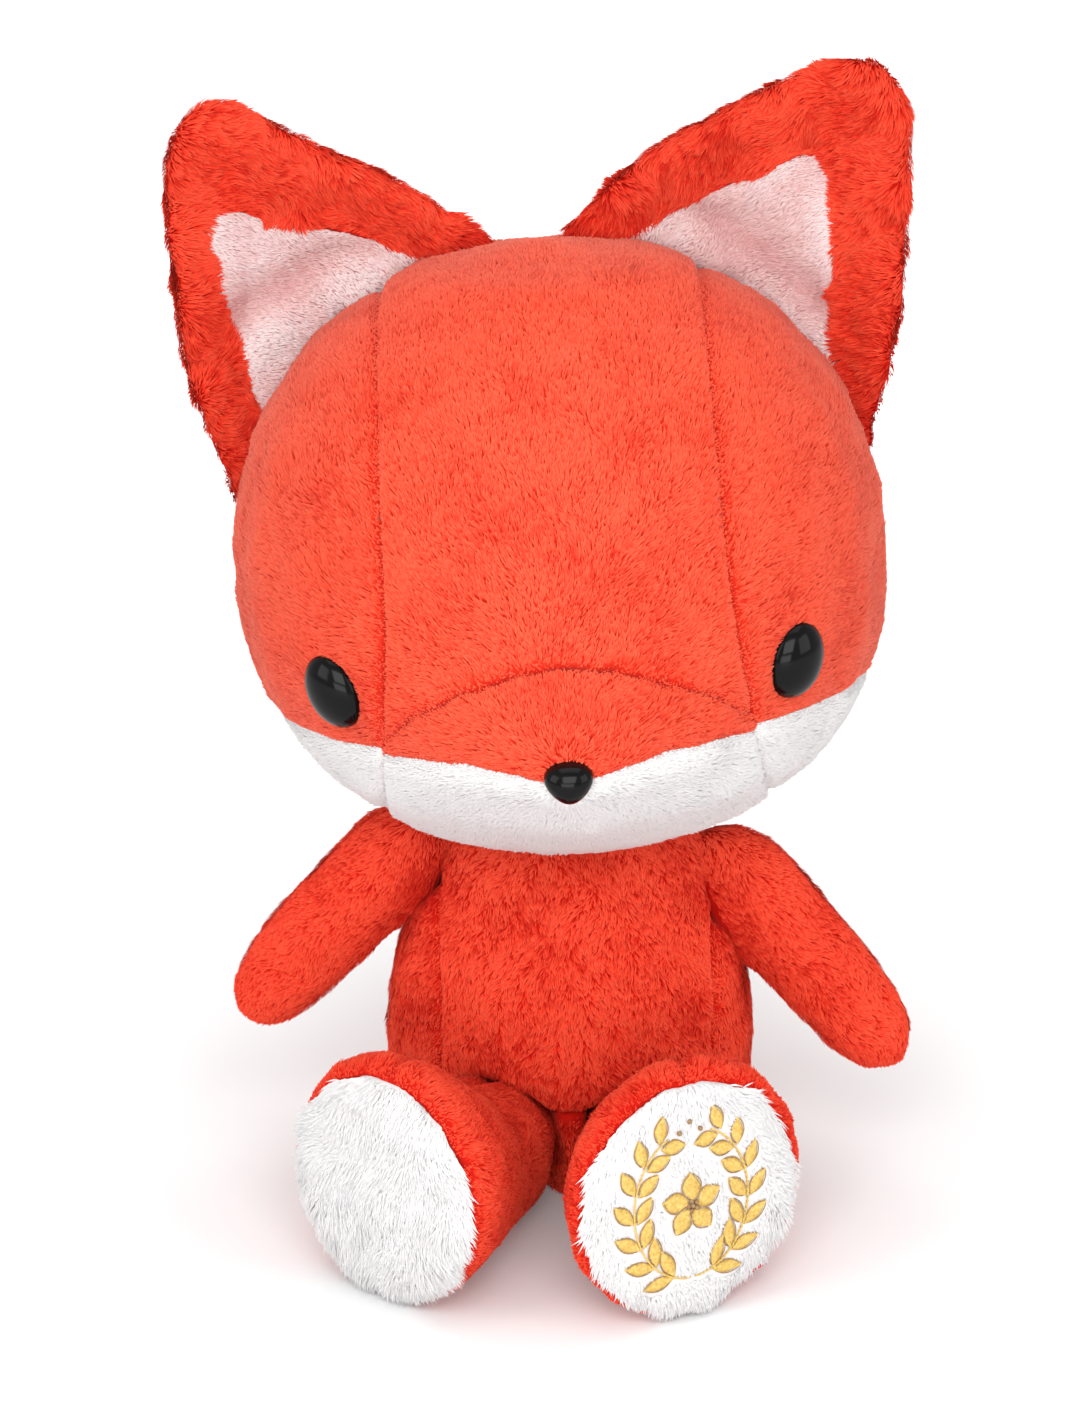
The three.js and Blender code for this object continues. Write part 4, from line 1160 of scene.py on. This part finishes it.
for name, button in BUTTONS.items():
    bpy.ops.mesh.primitive_uv_sphere_add(segments=64, ring_count=32, radius=1)
    dome = bpy.context.object
    dome.name = name + "_dome"
    with all_in_edit_mode():
        bpy.ops.mesh.bisect(plane_co=(0, 0, 0), plane_no=(0, 0, 1), clear_inner=True)
        bpy.ops.mesh.extrude_region_move(TRANSFORM_OT_translate={"value": (0, 0, -0.75)})
        bpy.ops.mesh.edge_face_add()
        bpy.ops.mesh.select_all(action="SELECT")
        bpy.ops.mesh.normals_make_consistent(inside=False)
    places = read(dome.data.vertices, "co")
    places[:, 0] *= 1 - button["narrow"] * (1 - places[:, 1]) / 2
    move_points(dome.data, places * np.array(button["half"]) * MM)
    axes = [button["right"], button["up"], button["out"]]
    foot = [(place - button["sunk"] * out) * MM for place, out in zip(button["seat"], button["out"])]
    dome.data.transform(Matrix([[axis[i] for axis in axes] + [foot[i]] for i in range(3)] + [[0, 0, 0, 1]]))
    bpy.ops.object.shade_smooth_by_angle(angle=math.radians(50))
    dome.data.materials.append(black)
    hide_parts(name)
    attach(dome, "head")
    print("  ", dome.name, len(dome.data.polygons), "faces")

# %% [markdown]
# ## Washers
# The washers lock the shanks inside the head. They stay as packed, in milky clear nylon.

# %% Nylon
nylon, nodes, link, shader = new_material("milky nylon", {"Roughness": 0.35})
milk = [(0.0, (0.70, 0.71, 0.72)), (1.0, (0.82, 0.83, 0.84))]
link(ramp(nodes, link, fine_noise(nodes, link, 300), milk), shader.inputs["Base Color"])
for node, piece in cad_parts.items():
    if node.endswith("_washer"):
        for held in piece.material_slots:
            held.material = nylon
        print("  ", node, "in nylon")

# %% [markdown]
# ## Floor, background and light
# The toy sits on a white floor that runs into a white background, under large soft lamps in front and
# above, so its only shadow is a faint one under it. The floor's own glow grows away from the toy and is
# seen by the camera alone, so the floor is darker near the toy: painted shade around its real shadow.

# %% Floor and world
bpy.ops.object.select_all(action="DESELECT")
bpy.ops.mesh.primitive_plane_add(size=6, location=(0, 0, 0))
floor = bpy.context.object
floor.name = "floor"
matt = {"Base Color": (0.83, 0.83, 0.83, 1), "Roughness": 0.9, "Specular IOR Level": 0.1}
paper, nodes, link, shader = new_material("white paper floor", matt)
where = nodes.new("ShaderNodeTexCoord")
far = nodes.new("ShaderNodeVectorMath")
far.operation = "LENGTH"
link(where.outputs["Object"], far.inputs[0])
path = nodes.new("ShaderNodeLightPath")
lit = nodes.new("ShaderNodeMath")
lit.operation = "MULTIPLY"
link(path.outputs["Is Camera Ray"], lit.inputs[0])
# Less glow near the toy: painted shade on the floor around it.
link(spread(nodes, link, far.outputs["Value"], 0.06, 0.6, start=0.1, end=0.5), lit.inputs[1])
glow = nodes.new("ShaderNodeEmission")
link(lit.outputs["Value"], glow.inputs["Strength"])
both = nodes.new("ShaderNodeAddShader")
link(shader.outputs["BSDF"], both.inputs[0])
link(glow.outputs["Emission"], both.inputs[1])
link(both.outputs["Shader"], nodes["Material Output"].inputs["Surface"])
floor.data.materials.append(paper)

world = bpy.data.worlds.new("white room")
bpy.context.scene.world = world
world.use_nodes = True
nodes, link = world.node_tree.nodes, world.node_tree.links.new
room = nodes["Background"]
room.inputs["Color"].default_value = (1, 1, 1, 1)
path = nodes.new("ShaderNodeLightPath")
seen = nodes.new("ShaderNodeMath")
seen.operation = "MAXIMUM"
link(path.outputs["Is Camera Ray"], seen.inputs[0])
link(path.outputs["Is Transmission Ray"], seen.inputs[1])
link(spread(nodes, link, seen.outputs["Value"], 0.6, 1.0), room.inputs["Strength"])
print("floor", tuple(floor.dimensions), "under", world.name)


# %% Soft lamps
# Places, aims and sizes are in metres, power in watts.
def soft_lamp(name, place, aim, size, power):
    bpy.ops.object.light_add(type="AREA", location=place)
    lamp = bpy.context.object
    lamp.name = name
    lamp.data.shape = "RECTANGLE"
    lamp.data.size, lamp.data.size_y = size
    lamp.data.energy = power
    lamp.rotation_euler = (Vector(aim) - Vector(place)).to_track_quat("-Z", "Y").to_euler()
    print("  ", name, power, "watts")


soft_lamp("front box", (0.0, -1.15, 0.85), (0, 0, 0.12), (1.0, 0.8), 11.3)
soft_lamp("low box", (-0.1, -1.2, 0.2), (0, 0, 0.03), (0.9, 0.3), 3.4)
soft_lamp("left box", (-1.1, -0.6, 0.7), (0, 0, 0.13), (0.8, 0.9), 5.4)
soft_lamp("right box", (1.1, -0.6, 0.6), (0, 0, 0.13), (0.8, 0.9), 4.4)
soft_lamp("top box", (0, 0.2, 1.4), (0, 0, 0.1), (1.2, 1.2), 5.5)

# %% [markdown]
# ## Camera
# The photograph was taken from the front, 20 degrees above the floor, through a long lens about a metre
# away.

# %% Camera
TALL, FOCAL = 1428, 4167  # the photograph's height and focal length in its pixels
AIM = Vector((0, 0, 0.120))
LIFT = math.radians(20)
bpy.ops.object.camera_add(location=AIM + Vector((0, -math.cos(LIFT), math.sin(LIFT))))
camera = bpy.context.object
camera.name = "camera"
camera.rotation_euler = (math.pi / 2 - LIFT, 0, 0)
camera.data.sensor_width = 36
camera.data.lens = 36 * FOCAL / TALL
camera.data.shift_x, camera.data.shift_y = -30 / TALL, -14 / TALL
camera.data.clip_start = 0.05
bpy.context.scene.camera = camera
print("camera", tuple(camera.location), "lens", camera.data.lens)
bpy.context.scene.view_settings.view_transform = "Standard"
